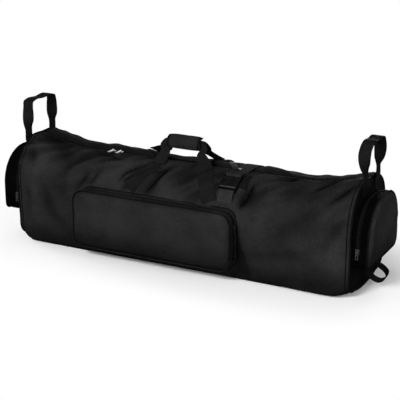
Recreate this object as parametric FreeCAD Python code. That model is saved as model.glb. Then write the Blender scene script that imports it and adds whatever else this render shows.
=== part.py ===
import FreeCAD, Part
import math
import os

# Soft hardware case for drum stands: a long padded nylon bag with a zipped top, a buckled strap,
# two carry handles joined by a wrapped grip, webbing loops and a zipped pocket on the front and on
# each end. Millimetres. X runs along the case, the front pocket faces -Y, Z is up, and the origin
# lies on the floor under the middle of the case.

# Driving dimensions of the case
case_length = 1168.0
case_depth = 310.0
shoulder_height = 210.0
fold_height = 233.0
top_height = 307.0
end_height = 345.0
level_length = 800.0
mouth_length = 1040.0
crown_width = 60.0
corner_radius = 16.0
wall = 4.0
seam_gap = 0.3
end_tuck = 8.0
end_pan_depth = 20.0
board_thickness = 3.0
board_margin = 12.0
piping_size = 3.2
end_piping_size = 3.6
end_piping_width = 6.0

# Zippers
lip_half = 10.0
pocket_lip_half = 7.0
tape_thickness = 1.2
tape_tuck = 16.0
pocket_tape_tuck = 4.0
teeth_gap_half = 1.25
teeth_width = 1.6
teeth_height = 3.0
slider_slot = 4.6
slider_plate = 1.8
slider_half_width = 6.0
slider_half_length = 8.0
slider_post_width = 1.7
slider_post_length = 4.0
top_bail_turn = 0.0
pocket_bail_turn = 90.0
bail_leg = 1.4
bail_inside = 5.0
bail_width = 3.2
bail_height = 4.4
bail_pin_radius = 1.0
bail_pin_rise = 2.6
eye_radius = 2.4
eye_hole_radius = 1.35
eye_side_gap = 0.3
pull_length = 30.0
pull_width = 9.0
pull_thickness = 1.5
pull_slot_width = 3.0
pull_slot_length = 15.0
pocket_pull_length = 24.0

# Places of the two sliders on the top zipper
left_slider_x = -303.0
right_slider_x = -275.0

# Carry handles
webbing = 2.4
handle_width = 50.0
handle_pivot_y = 65.0
grip_centre_x = -34.0
grip_length = 114.0
grip_rise = 61.0
grip_wall = 7.0
grip_cavity_height = 27.0
grip_front_gap = 0.3
grip_rear_reach = 10.0
grip_edge_radius = 5.0
leg_neck_gap = 2.0
bar_height = 22.0
bar_thickness = 4.0
bar_spacing = 5.0
leg_top_width = 22.0
front_right_leg_x = 70.0
front_left_leg_x = -98.0
rear_right_leg_x = 56.0
rear_left_leg_x = -178.0
sewn_leg_splay = 58.0
sewn_left_leg_splay = 62.0
sewn_foot_gap = 4.0
skin_gap = 0.3

# Buckled strap
strap_x = 176.0
strap_width = 50.0
strap_clearance = 1.2
strap_anchor_height = 50.0
strap_anchor_foot = 14.0
strap_anchor_width = 56.0
tail_length = 34.0
tail_rise = 32.0
tail_width = 20.0
buckle_share = 0.588
buckle_lean = 3.5
socket_width = 60.0
socket_thickness = 13.0
socket_lower = 36.0
socket_mouth = 6.0
socket_wall = 2.2
socket_side = 4.0
socket_floor = 2.0
socket_slot = 8.0
window_low = 18.0
window_high = 8.0
window_height = 6.0
buckle_bar = 4.0
bar_clearance = 0.3
plug_gap = 0.5
plug_block = 10.5
plug_slot = 9.0
plug_thickness = 12.0
plug_side = 4.0
prong_reach = 26.0
guide_reach = 20.0
prong_side_gap = 0.8
prong_width = 10.0
prong_thickness = 4.0
guide_width = 8.0
side_tab_x = 220.0
side_tab_width = 22.0
side_tab_drop = 5.0
side_tab_height = 22.0
side_tab_thickness = 4.5

# Webbing loops on the ends
loop_width = 38.0
left_loop_span = 140.0
right_loop_span = 112.0
loop_height = 110.0
loop_pivot_height = 349.0
loop_flat_height = 14.0
loop_corner = 18.0
loop_sewn_low = 297.0
loop_sewn_high = 319.0
grab_centre_y = 25.0
grab_span = 92.0
grab_width = 20.0
grab_reach = 56.0
grab_corner = 24.0
grab_droop = 30.0
grab_pivot_height = 48.0
grab_tab_height = 26.0

# Pockets
front_pocket_x = -54.0
front_pocket_half_width = 276.0
front_pocket_base = 40.0
front_pocket_top = 226.0
front_pocket_depth = 55.0
front_pocket_corner = 35.0
front_pocket_strip = 16.0
end_pocket_half_width = 135.0
end_pocket_base = 95.0
end_pocket_top = 292.0
end_pocket_corner = 20.0
end_pocket_arch = 110.0
right_pocket_depth = 45.0
left_pocket_depth = 62.0
end_pocket_strip = 9.0
pocket_wall = 2.5
pocket_face = 3.0
pocket_slider_drop = 44.0
end_slider_rise = 55.0

half_length = case_length / 2
half_depth = case_depth / 2
half_mouth = mouth_length / 2
half_level = level_length / 2
half_crown = crown_width / 2
panel_end = half_length - end_pan_depth - seam_gap
above_fold = fold_height + seam_gap
sewn_foot = fold_height + sewn_foot_gap
diagonal = math.sqrt(0.5)

shapes = {}


def point(x, y, z):
    return FreeCAD.Vector(x, y, z)


east = point(1, 0, 0)
north = point(0, 1, 0)
up = point(0, 0, 1)


def line(a, b):
    return Part.LineSegment(a, b).toShape()


def quarter(start, corner, end):
    """A quarter of an ellipse from start to end, whose tangents meet at corner."""
    curve = Part.BezierCurve()
    curve.setPoles([start, corner, end])
    curve.setWeight(2, diagonal)
    return curve.toShape()


def block(low, high):
    """A box between two corners."""
    size = high - low
    return Part.makeBox(size.x, size.y, size.z, low)


def rod(radius, start, end):
    run = end - start
    return Part.makeCylinder(radius, run.Length, start, run)


def prism(points, run):
    """A flat outline, pushed along run."""
    return Part.Face(Part.makePolygon(points + points[:1])).extrude(run)


def top_at(x):
    """Height of the crown, level in the middle and raised towards the ends."""
    beyond = max(0.0, abs(x) - half_level)
    return top_height + (end_height - top_height) * beyond / (half_length - half_level)


def skin_height(y):
    """Height of the skin over y, on the level part of the case."""
    share = (abs(y) - half_crown) / (half_depth - half_crown)
    return shoulder_height + (top_height - shoulder_height) * math.sqrt(1 - share * share)


def section_face(x, top, inset):
    """The closed cross section of the case at x, drawn in on all sides by inset."""
    side = half_depth - inset
    radius = corner_radius - inset
    ceiling = top - inset
    edges = [
        line(point(x, side - radius, inset), point(x, radius - side, inset)),
        quarter(point(x, radius - side, inset), point(x, -side, inset), point(x, -side, inset + radius)),
        line(point(x, -side, inset + radius), point(x, -side, shoulder_height)),
        quarter(point(x, -side, shoulder_height), point(x, -side, ceiling), point(x, -half_crown, ceiling)),
        line(point(x, -half_crown, ceiling), point(x, half_crown, ceiling)),
        quarter(point(x, half_crown, ceiling), point(x, side, ceiling), point(x, side, shoulder_height)),
        line(point(x, side, shoulder_height), point(x, side, inset + radius)),
        quarter(point(x, side, inset + radius), point(x, side, inset), point(x, side - radius, inset)),
    ]
    return Part.Face(Part.Wire(edges))


def section_band(x_low, x_high, low, high):
    """The skin that lies between two distances outside the level part of the case."""
    run = point(x_high - x_low, 0, 0)
    outer = section_face(x_low, top_height, -high).extrude(run)
    return outer.cut(section_face(x_low, top_height, -low).extrude(run))


# Base, sides and ends of the case

def crown_wire(x, side):
    """Half of the curved top at x, from the shoulder to the lip beside the zipper."""
    top = top_at(x)
    ceiling = top - wall
    outer = side * half_depth
    inner = side * (half_depth - wall)
    crown = side * half_crown
    lip = side * lip_half
    edges = [
        quarter(point(x, outer, shoulder_height), point(x, outer, top), point(x, crown, top)),
        line(point(x, crown, top), point(x, lip, top)),
        line(point(x, lip, top), point(x, lip, ceiling)),
        line(point(x, lip, ceiling), point(x, crown, ceiling)),
        quarter(point(x, crown, ceiling), point(x, inner, ceiling), point(x, inner, shoulder_height)),
        line(point(x, inner, shoulder_height), point(x, outer, shoulder_height)),
    ]
    return Part.Wire(edges)


def crown(side, reach):
    """Half of the curved top, for reach on each side of the middle."""
    return Part.makeLoft([crown_wire(x, side) for x in (-reach, -half_level, half_level, reach)], True, True)


def side_panel(side):
    """Front or rear panel: it turns under the case below, and reaches the fold line of its flap above."""
    foot = half_depth - corner_radius
    inner = corner_radius - wall
    outer_face = side * half_depth
    inner_face = side * (half_depth - wall)
    edges = [
        quarter(point(0, side * foot, 0), point(0, outer_face, 0), point(0, outer_face, corner_radius)),
        line(point(0, outer_face, corner_radius), point(0, outer_face, shoulder_height)),
        line(point(0, outer_face, shoulder_height), point(0, inner_face, shoulder_height)),
        line(point(0, inner_face, shoulder_height), point(0, inner_face, wall + inner)),
        quarter(point(0, inner_face, wall + inner), point(0, inner_face, wall), point(0, side * foot, wall)),
        line(point(0, side * foot, wall), point(0, side * foot, 0)),
    ]
    face = Part.Face(Part.Wire(edges))
    face.translate(point(-panel_end, 0, 0))
    upright = face.extrude(point(2 * panel_end, 0, 0))
    return upright.fuse(crown(side, panel_end).common(under_fold)).removeSplitter()


def end_pan(end):
    """End panel with the shallow rim that curves in from the sides to the piped seam."""
    rim = end * (half_length - end_pan_depth)
    face = end * half_length
    inner_face = end * (half_length - wall)
    outer_wires = [
        section_face(rim, end_height, 0).OuterWire,
        section_face(face, end_height, end_tuck).OuterWire,
    ]
    inner_wires = [
        section_face(rim, end_height, wall).OuterWire,
        section_face(inner_face, end_height, wall + end_tuck).OuterWire,
    ]
    return Part.makeLoft(outer_wires, True, True).cut(Part.makeLoft(inner_wires, True, True))


def end_piping(end):
    """Piped seam round the end panel."""
    start = end * (half_length + end_piping_width / 2)
    run = point(-end * end_piping_width, 0, 0)
    inside = end_tuck * (1 - end_piping_width / 2 / end_pan_depth) - seam_gap
    outer = section_face(start, end_height, inside - end_piping_size).extrude(run)
    return outer.cut(section_face(start, end_height, inside).extrude(run))


def yoke_wire(x):
    """Arch of the sewn top beside an end panel."""
    top = top_at(x)
    side = half_depth - wall
    ceiling = top - wall
    foot = shoulder_height
    edges = [
        quarter(point(x, -half_depth, foot), point(x, -half_depth, top), point(x, -half_crown, top)),
        line(point(x, -half_crown, top), point(x, half_crown, top)),
        quarter(point(x, half_crown, top), point(x, half_depth, top), point(x, half_depth, foot)),
        line(point(x, half_depth, foot), point(x, side, foot)),
        quarter(point(x, side, foot), point(x, side, ceiling), point(x, half_crown, ceiling)),
        line(point(x, half_crown, ceiling), point(x, -half_crown, ceiling)),
        quarter(point(x, -half_crown, ceiling), point(x, -side, ceiling), point(x, -side, foot)),
        line(point(x, -side, foot), point(x, -half_depth, foot)),
    ]
    return Part.Wire(edges)


under_fold = block(point(-half_length, -half_depth, 0), point(half_length, half_depth, fold_height))
over_fold = block(point(-half_length, -half_depth, above_fold), point(half_length, half_depth, case_length))
foot_half = half_depth - corner_radius
shapes["base_panel"] = block(
    point(-panel_end, -foot_half, 0), point(panel_end, foot_half, wall))
shapes["base_board"] = block(
    point(-panel_end + board_margin, -foot_half + board_margin, wall + seam_gap),
    point(panel_end - board_margin, foot_half - board_margin, wall + seam_gap + board_thickness))
shapes["front_panel"] = side_panel(-1)
shapes["rear_panel"] = side_panel(1)
for name, end in (("left", -1), ("right", 1)):
    shapes[name + "_end_panel"] = end_pan(end)
    shapes[name + "_end_piping"] = end_piping(end)
    yoke = Part.makeLoft([yoke_wire(end * (half_mouth + seam_gap)), yoke_wire(end * panel_end)], True, True)
    shapes[name + "_end_yoke"] = yoke.common(over_fold)


# Top flaps and the zipper between them

def tape_wire(x, side):
    """Half of the top zipper: the woven tape under the flap's lip and the row of teeth on its edge."""
    top = top_at(x) - wall
    base = top - tape_thickness
    middle = top - tape_thickness / 2
    teeth_top = middle + teeth_height / 2
    teeth_base = middle - teeth_height / 2
    inner = side * teeth_gap_half
    shoulder = side * (teeth_gap_half + teeth_width)
    outer = side * (lip_half + tape_tuck)
    corners = [
        point(x, outer, top), point(x, shoulder, top),
        point(x, shoulder, teeth_top), point(x, inner, teeth_top),
        point(x, inner, teeth_base), point(x, shoulder, teeth_base),
        point(x, shoulder, base), point(x, outer, base),
    ]
    return Part.makePolygon(corners + corners[:1])


stations = (-half_mouth, -half_level, half_level, half_mouth)
for name, side in (("front", -1), ("rear", 1)):
    shapes[name + "_top_panel"] = crown(side, half_mouth).common(over_fold)
    shapes[name + "_zip_tape"] = Part.makeLoft([tape_wire(x, side) for x in stations], True, True)


def zip_slider(bail_turn):
    """Slider about its tape: it runs along X, with the bail for its pull on the +Z side."""
    half_slot = slider_slot / 2
    length = slider_half_length
    width = slider_half_width
    plate_top = half_slot + slider_plate
    top = block(point(-length, -width, half_slot), point(length, width, plate_top))
    base = block(point(-length, -width, -half_slot - slider_plate), point(length, width, -half_slot))
    post = block(
        point(-slider_post_length / 2, -slider_post_width / 2, -half_slot),
        point(slider_post_length / 2, slider_post_width / 2, half_slot))
    bail_end = bail_inside / 2 + bail_leg
    legs = []
    for start in (-bail_end, bail_inside / 2):
        legs.append(block(
            point(start, -bail_width / 2, plate_top),
            point(start + bail_leg, bail_width / 2, plate_top + bail_height)))
    pin_height = plate_top + bail_pin_rise
    bail = rod(bail_pin_radius, point(-bail_end, 0, pin_height), point(bail_end, 0, pin_height)).fuse(legs)
    bail.rotate(point(0, 0, 0), up, bail_turn)
    return top.fuse([base, post, bail]).removeSplitter()


def zip_pull(length):
    """Forked metal pull whose eye turns on the slider's pin. It points to -Y."""
    half_eye = bail_inside / 2 - eye_side_gap
    height = slider_slot / 2 + slider_plate + bail_pin_rise
    plate = block(
        point(-pull_width / 2, -length, height - pull_thickness / 2),
        point(pull_width / 2, -eye_radius - bail_width / 2, height + pull_thickness / 2))
    neck = block(
        point(-half_eye, -eye_radius - bail_width, height - pull_thickness / 2),
        point(half_eye, 0, height + pull_thickness / 2))
    slot = block(
        point(-pull_slot_width / 2, -length, height - pull_thickness),
        point(pull_slot_width / 2, pull_slot_length - length, height + pull_thickness))
    eye = rod(eye_radius, point(-half_eye, 0, height), point(half_eye, 0, height))
    hole = rod(eye_hole_radius, point(-half_eye, 0, height), point(half_eye, 0, height))
    return plate.fuse([neck, eye]).cut(slot).cut(hole).removeSplitter()


def placed(shape, origin, x_way, y_way, z_way):
    """A copy of a shape, with its own axes laid along the three ways given."""
    copy = shape.copy()
    copy.Placement = FreeCAD.Placement(origin, FreeCAD.Rotation(x_way, y_way, z_way, "XYZ"))
    return copy


tape_middle = top_height - wall - tape_thickness / 2
for name, x in (("left", left_slider_x), ("right", right_slider_x)):
    seat = point(x, 0, tape_middle)
    shapes[name + "_slider"] = placed(zip_slider(top_bail_turn), seat, east, north, up)
    shapes[name + "_pull"] = placed(zip_pull(pull_length), seat, east, north, up)


# Carry handles: each is one loop of webbing that folds on its sewn legs

pivot_height = skin_height(handle_pivot_y) + skin_gap + webbing + seam_gap + webbing / 2
grip_centre_z = top_height + grip_rise
grip_low = grip_centre_z - grip_cavity_height / 2 - grip_wall


def leg(base_x, bar_x, side):
    """Free leg of a handle, from its pivot line up to the end of the bar, narrowed beside the grip."""
    base_y = side * handle_pivot_y
    bar_y = side * bar_spacing
    bar_low = grip_centre_z - bar_height / 2
    half_base = handle_width / 2
    half_top = leg_top_width / 2
    neck_share = (grip_low - leg_neck_gap - pivot_height) / (bar_low - pivot_height)
    neck_y = base_y + (bar_y - base_y) * neck_share
    neck_z = grip_low - leg_neck_gap
    lean = point(0, bar_y - base_y, bar_low - pivot_height)
    lean.normalize()
    normal = point(0, -lean.z * webbing, lean.y * webbing)
    outline = [
        point(base_x - half_base, base_y, pivot_height), point(base_x + half_base, base_y, pivot_height),
        point(bar_x + half_top, neck_y, neck_z), point(bar_x + half_top, bar_y, bar_low),
        point(bar_x - half_top, bar_y, bar_low), point(bar_x - half_top, neck_y, neck_z),
    ]
    return prism([corner - normal / 2 for corner in outline], normal)


def handle(side, left_x, right_x):
    """Bar of folded webbing with a leg at each end."""
    end = grip_length / 2 + leg_top_width + seam_gap
    half_bar = bar_thickness / 2
    y = side * bar_spacing
    bar = block(
        point(grip_centre_x - end, y - half_bar, grip_centre_z - bar_height / 2),
        point(grip_centre_x + end, y + half_bar, grip_centre_z + bar_height / 2))
    reach = end - leg_top_width / 2
    left = leg(left_x, grip_centre_x - reach, side)
    right = leg(right_x, grip_centre_x + reach, side)
    return bar.fuse([left, right]).removeSplitter()


def sewn_legs(side, left_x, right_x):
    """Lower legs of a handle, lying on the flap and sewn down at their feet."""
    skin = section_band(left_x - case_depth, right_x + case_depth, skin_gap, skin_gap + webbing)
    legs = []
    low = sewn_foot
    high = top_height
    for base_x, splay in ((left_x, -sewn_left_leg_splay), (right_x, sewn_leg_splay)):
        foot_x = base_x + splay
        half = handle_width / 2
        outline = [
            point(foot_x - half, 0, low), point(foot_x + half, 0, low),
            point(base_x + half, 0, high), point(base_x - half, 0, high),
        ]
        way = side * (half_depth + handle_width)
        strip = prism(outline, point(0, way, 0)).common(skin)
        over_crown = block(
            point(-half_length, -handle_pivot_y, 0), point(half_length, handle_pivot_y, case_length))
        legs.append(strip.cut(over_crown))
    return Part.makeCompound(legs)


shapes["front_handle"] = handle(-1, front_left_leg_x, front_right_leg_x)
shapes["rear_handle"] = handle(1, rear_left_leg_x, rear_right_leg_x)
shapes["front_handle_tabs"] = sewn_legs(-1, front_left_leg_x, front_right_leg_x)
shapes["rear_handle_tabs"] = sewn_legs(1, rear_left_leg_x, rear_right_leg_x)

# The padded grip is fixed to the front bar and open to the rear, where the rear bar lies in it
bar_front = -bar_spacing - bar_thickness / 2
grip_front = bar_front - grip_front_gap - grip_wall
grip_high = grip_centre_z + grip_cavity_height / 2 + grip_wall
grip = block(
    point(grip_centre_x - grip_length / 2, grip_front, grip_low),
    point(grip_centre_x + grip_length / 2, grip_rear_reach, grip_high))
outer_edges = [
    edge for edge in grip.Edges
    if abs(edge.tangentAt(edge.FirstParameter).x) > diagonal
]
grip = grip.makeFillet(grip_edge_radius, outer_edges)
cavity = block(
    point(grip_centre_x - grip_length, bar_front - grip_front_gap, grip_centre_z - grip_cavity_height / 2),
    point(grip_centre_x + grip_length, grip_rear_reach + grip_wall, grip_centre_z + grip_cavity_height / 2))
shapes["grip_pad"] = grip.cut(cavity)


# Buckled strap across the mouth

lift = strap_clearance + socket_thickness / 2
crown_depth = half_depth - half_crown
buckle_y = -half_crown - buckle_share * crown_depth
crown_rise = top_height - shoulder_height
fall = crown_rise / crown_depth * buckle_share / math.sqrt(1 - buckle_share * buckle_share)
slope = math.atan(fall) + math.radians(buckle_lean)
buckle_centre = point(
    strap_x, buckle_y - lift * math.sin(slope), skin_height(buckle_y) + lift * math.cos(slope))
along_way = point(0, math.cos(slope), math.sin(slope))
off_way = point(0, -math.sin(slope), math.cos(slope))


def on_buckle(shape):
    """Lays a shape drawn about the buckle's middle on the front shoulder."""
    return placed(shape, buckle_centre, east, along_way, off_way)


half_strap = strap_width / 2
half_socket = socket_width / 2
half_thick = socket_thickness / 2
socket = block(point(-half_socket, -socket_lower, -half_thick), point(half_socket, socket_mouth, half_thick))
rounded = [edge for edge in socket.Edges if abs(edge.tangentAt(edge.FirstParameter).y) > diagonal]
socket = socket.makeFillet(socket_wall, rounded)
bar_top = buckle_bar - socket_lower
slot_top = bar_top + socket_slot
cavity_half = half_socket - socket_side
mouth = block(
    point(-cavity_half, slot_top + socket_floor, socket_wall - half_thick),
    point(cavity_half, socket_mouth + socket_wall, half_thick - socket_wall))
webbing_slot = block(
    point(-cavity_half, bar_top, -socket_thickness), point(cavity_half, slot_top, socket_thickness))
over_bar = block(
    point(-cavity_half, -socket_lower - socket_wall, buckle_bar / 2),
    point(cavity_half, bar_top, socket_thickness))
under_bar = block(
    point(-cavity_half, -socket_lower - socket_wall, -socket_thickness),
    point(cavity_half, bar_top, -buckle_bar / 2))
windows = block(
    point(-socket_width, -window_low, -window_height / 2),
    point(socket_width, -window_high, window_height / 2))
shapes["buckle_socket"] = on_buckle(socket.cut([mouth, webbing_slot, over_bar, under_bar, windows]))

plug_start = socket_mouth + plug_gap
block_end = plug_start + plug_block
bar_start = block_end + plug_slot
plug_end = bar_start + buckle_bar
half_plug = plug_thickness / 2
plug = block(point(-half_socket, plug_start, -half_plug), point(half_socket, plug_end, half_plug))
plug_rounded = [edge for edge in plug.Edges if abs(edge.tangentAt(edge.FirstParameter).y) > diagonal]
plug = plug.makeFillet(socket_wall, plug_rounded)
plug_inside = half_socket - plug_side
past_plug = plug_end + plug_gap
plug_slots = [
    block(point(-plug_inside, block_end, -plug_thickness), point(plug_inside, bar_start, plug_thickness)),
    block(point(-plug_inside, bar_start, buckle_bar / 2), point(plug_inside, past_plug, plug_thickness)),
    block(point(-plug_inside, bar_start, -plug_thickness), point(plug_inside, past_plug, -buckle_bar / 2)),
]
plug = plug.cut(plug_slots)
prong_outer = cavity_half - prong_side_gap
half_prong = prong_thickness / 2
prongs = [
    block(point(-prong_outer, plug_start - prong_reach, -half_prong),
          point(prong_width - prong_outer, plug_start, half_prong)),
    block(point(prong_outer - prong_width, plug_start - prong_reach, -half_prong),
          point(prong_outer, plug_start, half_prong)),
    block(point(-guide_width / 2, plug_start - guide_reach, -half_prong),
          point(guide_width / 2, plug_start, half_prong)),
]
shapes["buckle_plug"] = on_buckle(plug.fuse(prongs).removeSplitter())

# Lower strap: sewn above the front pocket, turned round the socket's bar
half_bar_gap = buckle_bar / 2 + bar_clearance
ring_low = -socket_lower - bar_clearance - webbing
lower_ring = block(
    point(-half_strap, ring_low, -half_bar_gap - webbing),
    point(half_strap, bar_top + bar_clearance + webbing, half_bar_gap + webbing))
lower_ring = lower_ring.cut(block(
    point(-half_strap, ring_low + webbing, -half_bar_gap),
    point(half_strap, bar_top + bar_clearance, half_bar_gap)))
drop = block(
    point(-half_strap, ring_low, -2 * socket_thickness), point(half_strap, ring_low + webbing, half_bar_gap))
strap_low_x = strap_x - half_strap
strap_high_x = strap_x + half_strap
front_skin = section_band(strap_low_x, strap_high_x, skin_gap, skin_gap + webbing)
ring_foot = buckle_centre + along_way * ring_low
below_ring = block(
    point(strap_low_x, -case_depth, sewn_foot),
    point(strap_high_x, ring_foot.y + 2 * lift * math.sin(slope), top_height))
lower_band = front_skin.common(below_ring)
skin_inside = section_face(strap_low_x, top_height, -skin_gap).extrude(point(strap_width, 0, 0))
lower_strap = on_buckle(lower_ring.fuse(drop)).fuse(lower_band).cut(skin_inside)
shapes["lower_strap"] = lower_strap.removeSplitter()

# Upper strap: turned round the plug's bar, over the top and down the rear to its anchor
ring_high = plug_end + bar_clearance + webbing
upper_ring = block(
    point(-half_strap, bar_start - bar_clearance - webbing, -half_bar_gap - webbing),
    point(half_strap, ring_high, half_bar_gap + webbing))
upper_ring = upper_ring.cut(block(
    point(-half_strap, bar_start - bar_clearance, -half_bar_gap),
    point(half_strap, ring_high - webbing, half_bar_gap)))
rise = block(
    point(-half_strap, ring_high - webbing, webbing - socket_thickness),
    point(half_strap, ring_high, half_bar_gap))
strap_skin = section_band(strap_low_x, strap_high_x, strap_clearance, strap_clearance + webbing)
ring_seat = buckle_centre + along_way * (ring_high - webbing)
over_top = block(
    point(strap_low_x, ring_seat.y + lift * math.sin(slope) * diagonal, shoulder_height),
    point(strap_high_x, case_depth, case_depth + top_height))
down_rear = block(point(strap_low_x, 0, strap_anchor_height), point(strap_high_x, case_depth, top_height))
upper_band = strap_skin.common(over_top.fuse(down_rear))
strap_inside = section_face(strap_low_x, top_height, -strap_clearance).extrude(point(strap_width, 0, 0))
upper_strap = on_buckle(upper_ring.fuse(rise)).cut(strap_inside).fuse(upper_band)

# The loose tail of the strap stands up beside the crown
tail_low = top_height + strap_clearance + webbing
tail_start = webbing - half_crown
tail_tip = tail_start - tail_length
tail_profile = [
    point(strap_low_x, tail_start, tail_low), point(strap_low_x, tail_tip, tail_low + tail_rise),
    point(strap_low_x, tail_tip, tail_low + tail_rise + webbing),
    point(strap_low_x, tail_start + webbing, tail_low + webbing),
    point(strap_low_x, tail_start + webbing, tail_low),
]
tail = prism(tail_profile, point(tail_width, 0, 0))
shapes["upper_strap"] = upper_strap.fuse(tail).removeSplitter()

anchor_skin = section_band(
    strap_x - strap_anchor_width / 2, strap_x + strap_anchor_width / 2, skin_gap, strap_clearance + webbing)
shapes["strap_anchor"] = anchor_skin.common(block(
    point(-half_length, half_depth, strap_anchor_foot + corner_radius / 2),
    point(half_length, case_depth, strap_anchor_height - webbing / 2 - seam_gap)))

tab_skin = section_band(
    side_tab_x - side_tab_width / 2, side_tab_x + side_tab_width / 2, skin_gap, skin_gap + side_tab_thickness)
shapes["side_tab"] = tab_skin.common(block(
    point(-half_length, -case_depth, top_height - side_tab_drop - side_tab_height),
    point(half_length, 0, top_height - side_tab_drop)))


# Webbing loops on the ends

def ribbon(stations):
    """Webbing through stations of (middle, half of its width as a vector, way through)."""
    wires = []
    for middle, a, through in stations:
        t = through * (webbing / 2)
        corners = [middle - a - t, middle + a - t, middle + a + t, middle - a + t]
        wires.append(Part.makePolygon(corners + corners[:1]))
    return Part.makeLoft(wires, True, True)


def end_loop(end, span):
    """Tall loop: flat on the end panel at its feet and twisted a quarter turn towards its top."""
    x = end * (half_length + end_piping_width / 2 + seam_gap + webbing / 2)
    half_span = span / 2
    foot = loop_pivot_height
    flat = loop_pivot_height + loop_flat_height
    top = loop_pivot_height + loop_height
    shoulder = top - loop_corner
    halfway = (flat + shoulder) / 2
    flat_way = north * (loop_width / 2)
    deep_way = east * (loop_width / 2)
    short = loop_corner * (1 - diagonal)
    stations = [
        (point(x, -half_span, foot), flat_way, east),
        (point(x, -half_span, flat), flat_way, east),
        (point(x, -half_span, halfway), (flat_way + deep_way) * diagonal, (east - north) * diagonal),
        (point(x, -half_span, shoulder), deep_way, north * -1),
        (point(x, short - half_span, top - short), deep_way, (up - north) * diagonal),
        (point(x, loop_corner - half_span, top), deep_way, up),
        (point(x, half_span - loop_corner, top), deep_way, up),
        (point(x, half_span - short, top - short), deep_way, (up + north) * diagonal),
        (point(x, half_span, shoulder), deep_way, north),
        (point(x, half_span, halfway), (deep_way - flat_way) * diagonal, (north + east) * diagonal),
        (point(x, half_span, flat), flat_way * -1, east),
        (point(x, half_span, foot), flat_way * -1, east),
    ]
    feet = [
        rod(webbing / 2, point(x, y, foot) - flat_way, point(x, y, foot) + flat_way)
        for y in (-half_span, half_span)
    ]
    return ribbon(stations).fuse(feet).removeSplitter()


def loop_tabs(end, span):
    """The two sewn ends of a loop: stitched flat to the end panel, and standing up past its piping."""
    near = half_length + seam_gap
    over_piping = half_length + end_piping_width / 2 + seam_gap
    outer = over_piping + webbing
    tab_top = loop_pivot_height - webbing / 2 - seam_gap
    profile = [
        point(end * near, 0, loop_sewn_low), point(end * outer, 0, loop_sewn_low),
        point(end * outer, 0, tab_top), point(end * over_piping, 0, tab_top),
        point(end * over_piping, 0, loop_sewn_high), point(end * near, 0, loop_sewn_high),
    ]
    tabs = []
    for y in (-span / 2, span / 2):
        tab = prism(profile, north * loop_width)
        tab.translate(north * (y - loop_width / 2))
        tabs.append(tab)
    return Part.makeCompound(tabs)


for name, end, loop_span in (("left", -1, left_loop_span), ("right", 1, right_loop_span)):
    shapes[name + "_end_loop"] = end_loop(end, loop_span)
    shapes[name + "_loop_tabs"] = loop_tabs(end, loop_span)

# Short grab loop low on the right end, which droops outward. Its feet are drawn in where they turn
droop = math.radians(grab_droop)
grab_out = point(math.cos(droop), 0, -math.sin(droop))
grab_half = point(math.sin(droop), 0, math.cos(droop)) * (grab_width / 2)
grab_foot = grab_half * (webbing / grab_width)
grab_tab_face = half_length + seam_gap + webbing
grab_root = point(grab_tab_face + seam_gap + webbing / 2, grab_centre_y, grab_pivot_height)
half_grab = grab_span / 2
grab_run = grab_out * (grab_reach - grab_corner)
grab_short = grab_corner * (1 - diagonal)
low_foot = grab_root - north * half_grab
high_foot = grab_root + north * half_grab
near_corner = low_foot + north * grab_corner
far_corner = high_foot - north * grab_corner
tip = grab_out * grab_reach
grab_loop = ribbon([
    (low_foot, grab_foot, north * -1),
    (low_foot + grab_out * grab_width, grab_half, north * -1),
    (low_foot + grab_run, grab_half, north * -1),
    (low_foot + north * grab_short + tip - grab_out * grab_short, grab_half, (grab_out - north) * diagonal),
    (near_corner + tip, grab_half, grab_out),
    (far_corner + tip, grab_half, grab_out),
    (high_foot - north * grab_short + tip - grab_out * grab_short, grab_half, (grab_out + north) * diagonal),
    (high_foot + grab_run, grab_half, north),
    (high_foot + grab_out * grab_width, grab_half, north),
    (high_foot, grab_foot, north),
])
shapes["grab_loop"] = grab_loop
grab_tabs = []
for y in (grab_centre_y - half_grab, grab_centre_y + half_grab):
    grab_tabs.append(block(
        point(half_length + seam_gap, y - grab_width / 2, grab_pivot_height - grab_tab_height / 2),
        point(grab_tab_face, y + grab_width / 2, grab_pivot_height + grab_tab_height / 2)))
shapes["grab_loop_tabs"] = Part.makeCompound(grab_tabs)


# Pockets: each is drawn flat, u across, v up and w out of the case, and then laid on its side

def pocket_outline(size, inset, w):
    """A panel with rounded lower corners and a rounded or arched top, drawn in by inset."""
    half_width, base, top, corner, arch = size
    side = half_width - inset
    low = base + inset
    high = top - inset
    small = corner - inset
    large = arch - inset
    corners = [
        line(point(small - side, low, w), point(side - small, low, w)),
        quarter(point(side - small, low, w), point(side, low, w), point(side, low + small, w)),
        line(point(side, low + small, w), point(side, high - large, w)),
        quarter(point(side, high - large, w), point(side, high, w), point(side - large, high, w)),
        line(point(side - large, high, w), point(large - side, high, w)),
        quarter(point(large - side, high, w), point(-side, high, w), point(-side, high - large, w)),
        line(point(-side, high - large, w), point(-side, low + small, w)),
        quarter(point(-side, low + small, w), point(-side, low, w), point(small - side, low, w)),
    ]
    return Part.Face(Part.Wire(corners))


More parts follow.
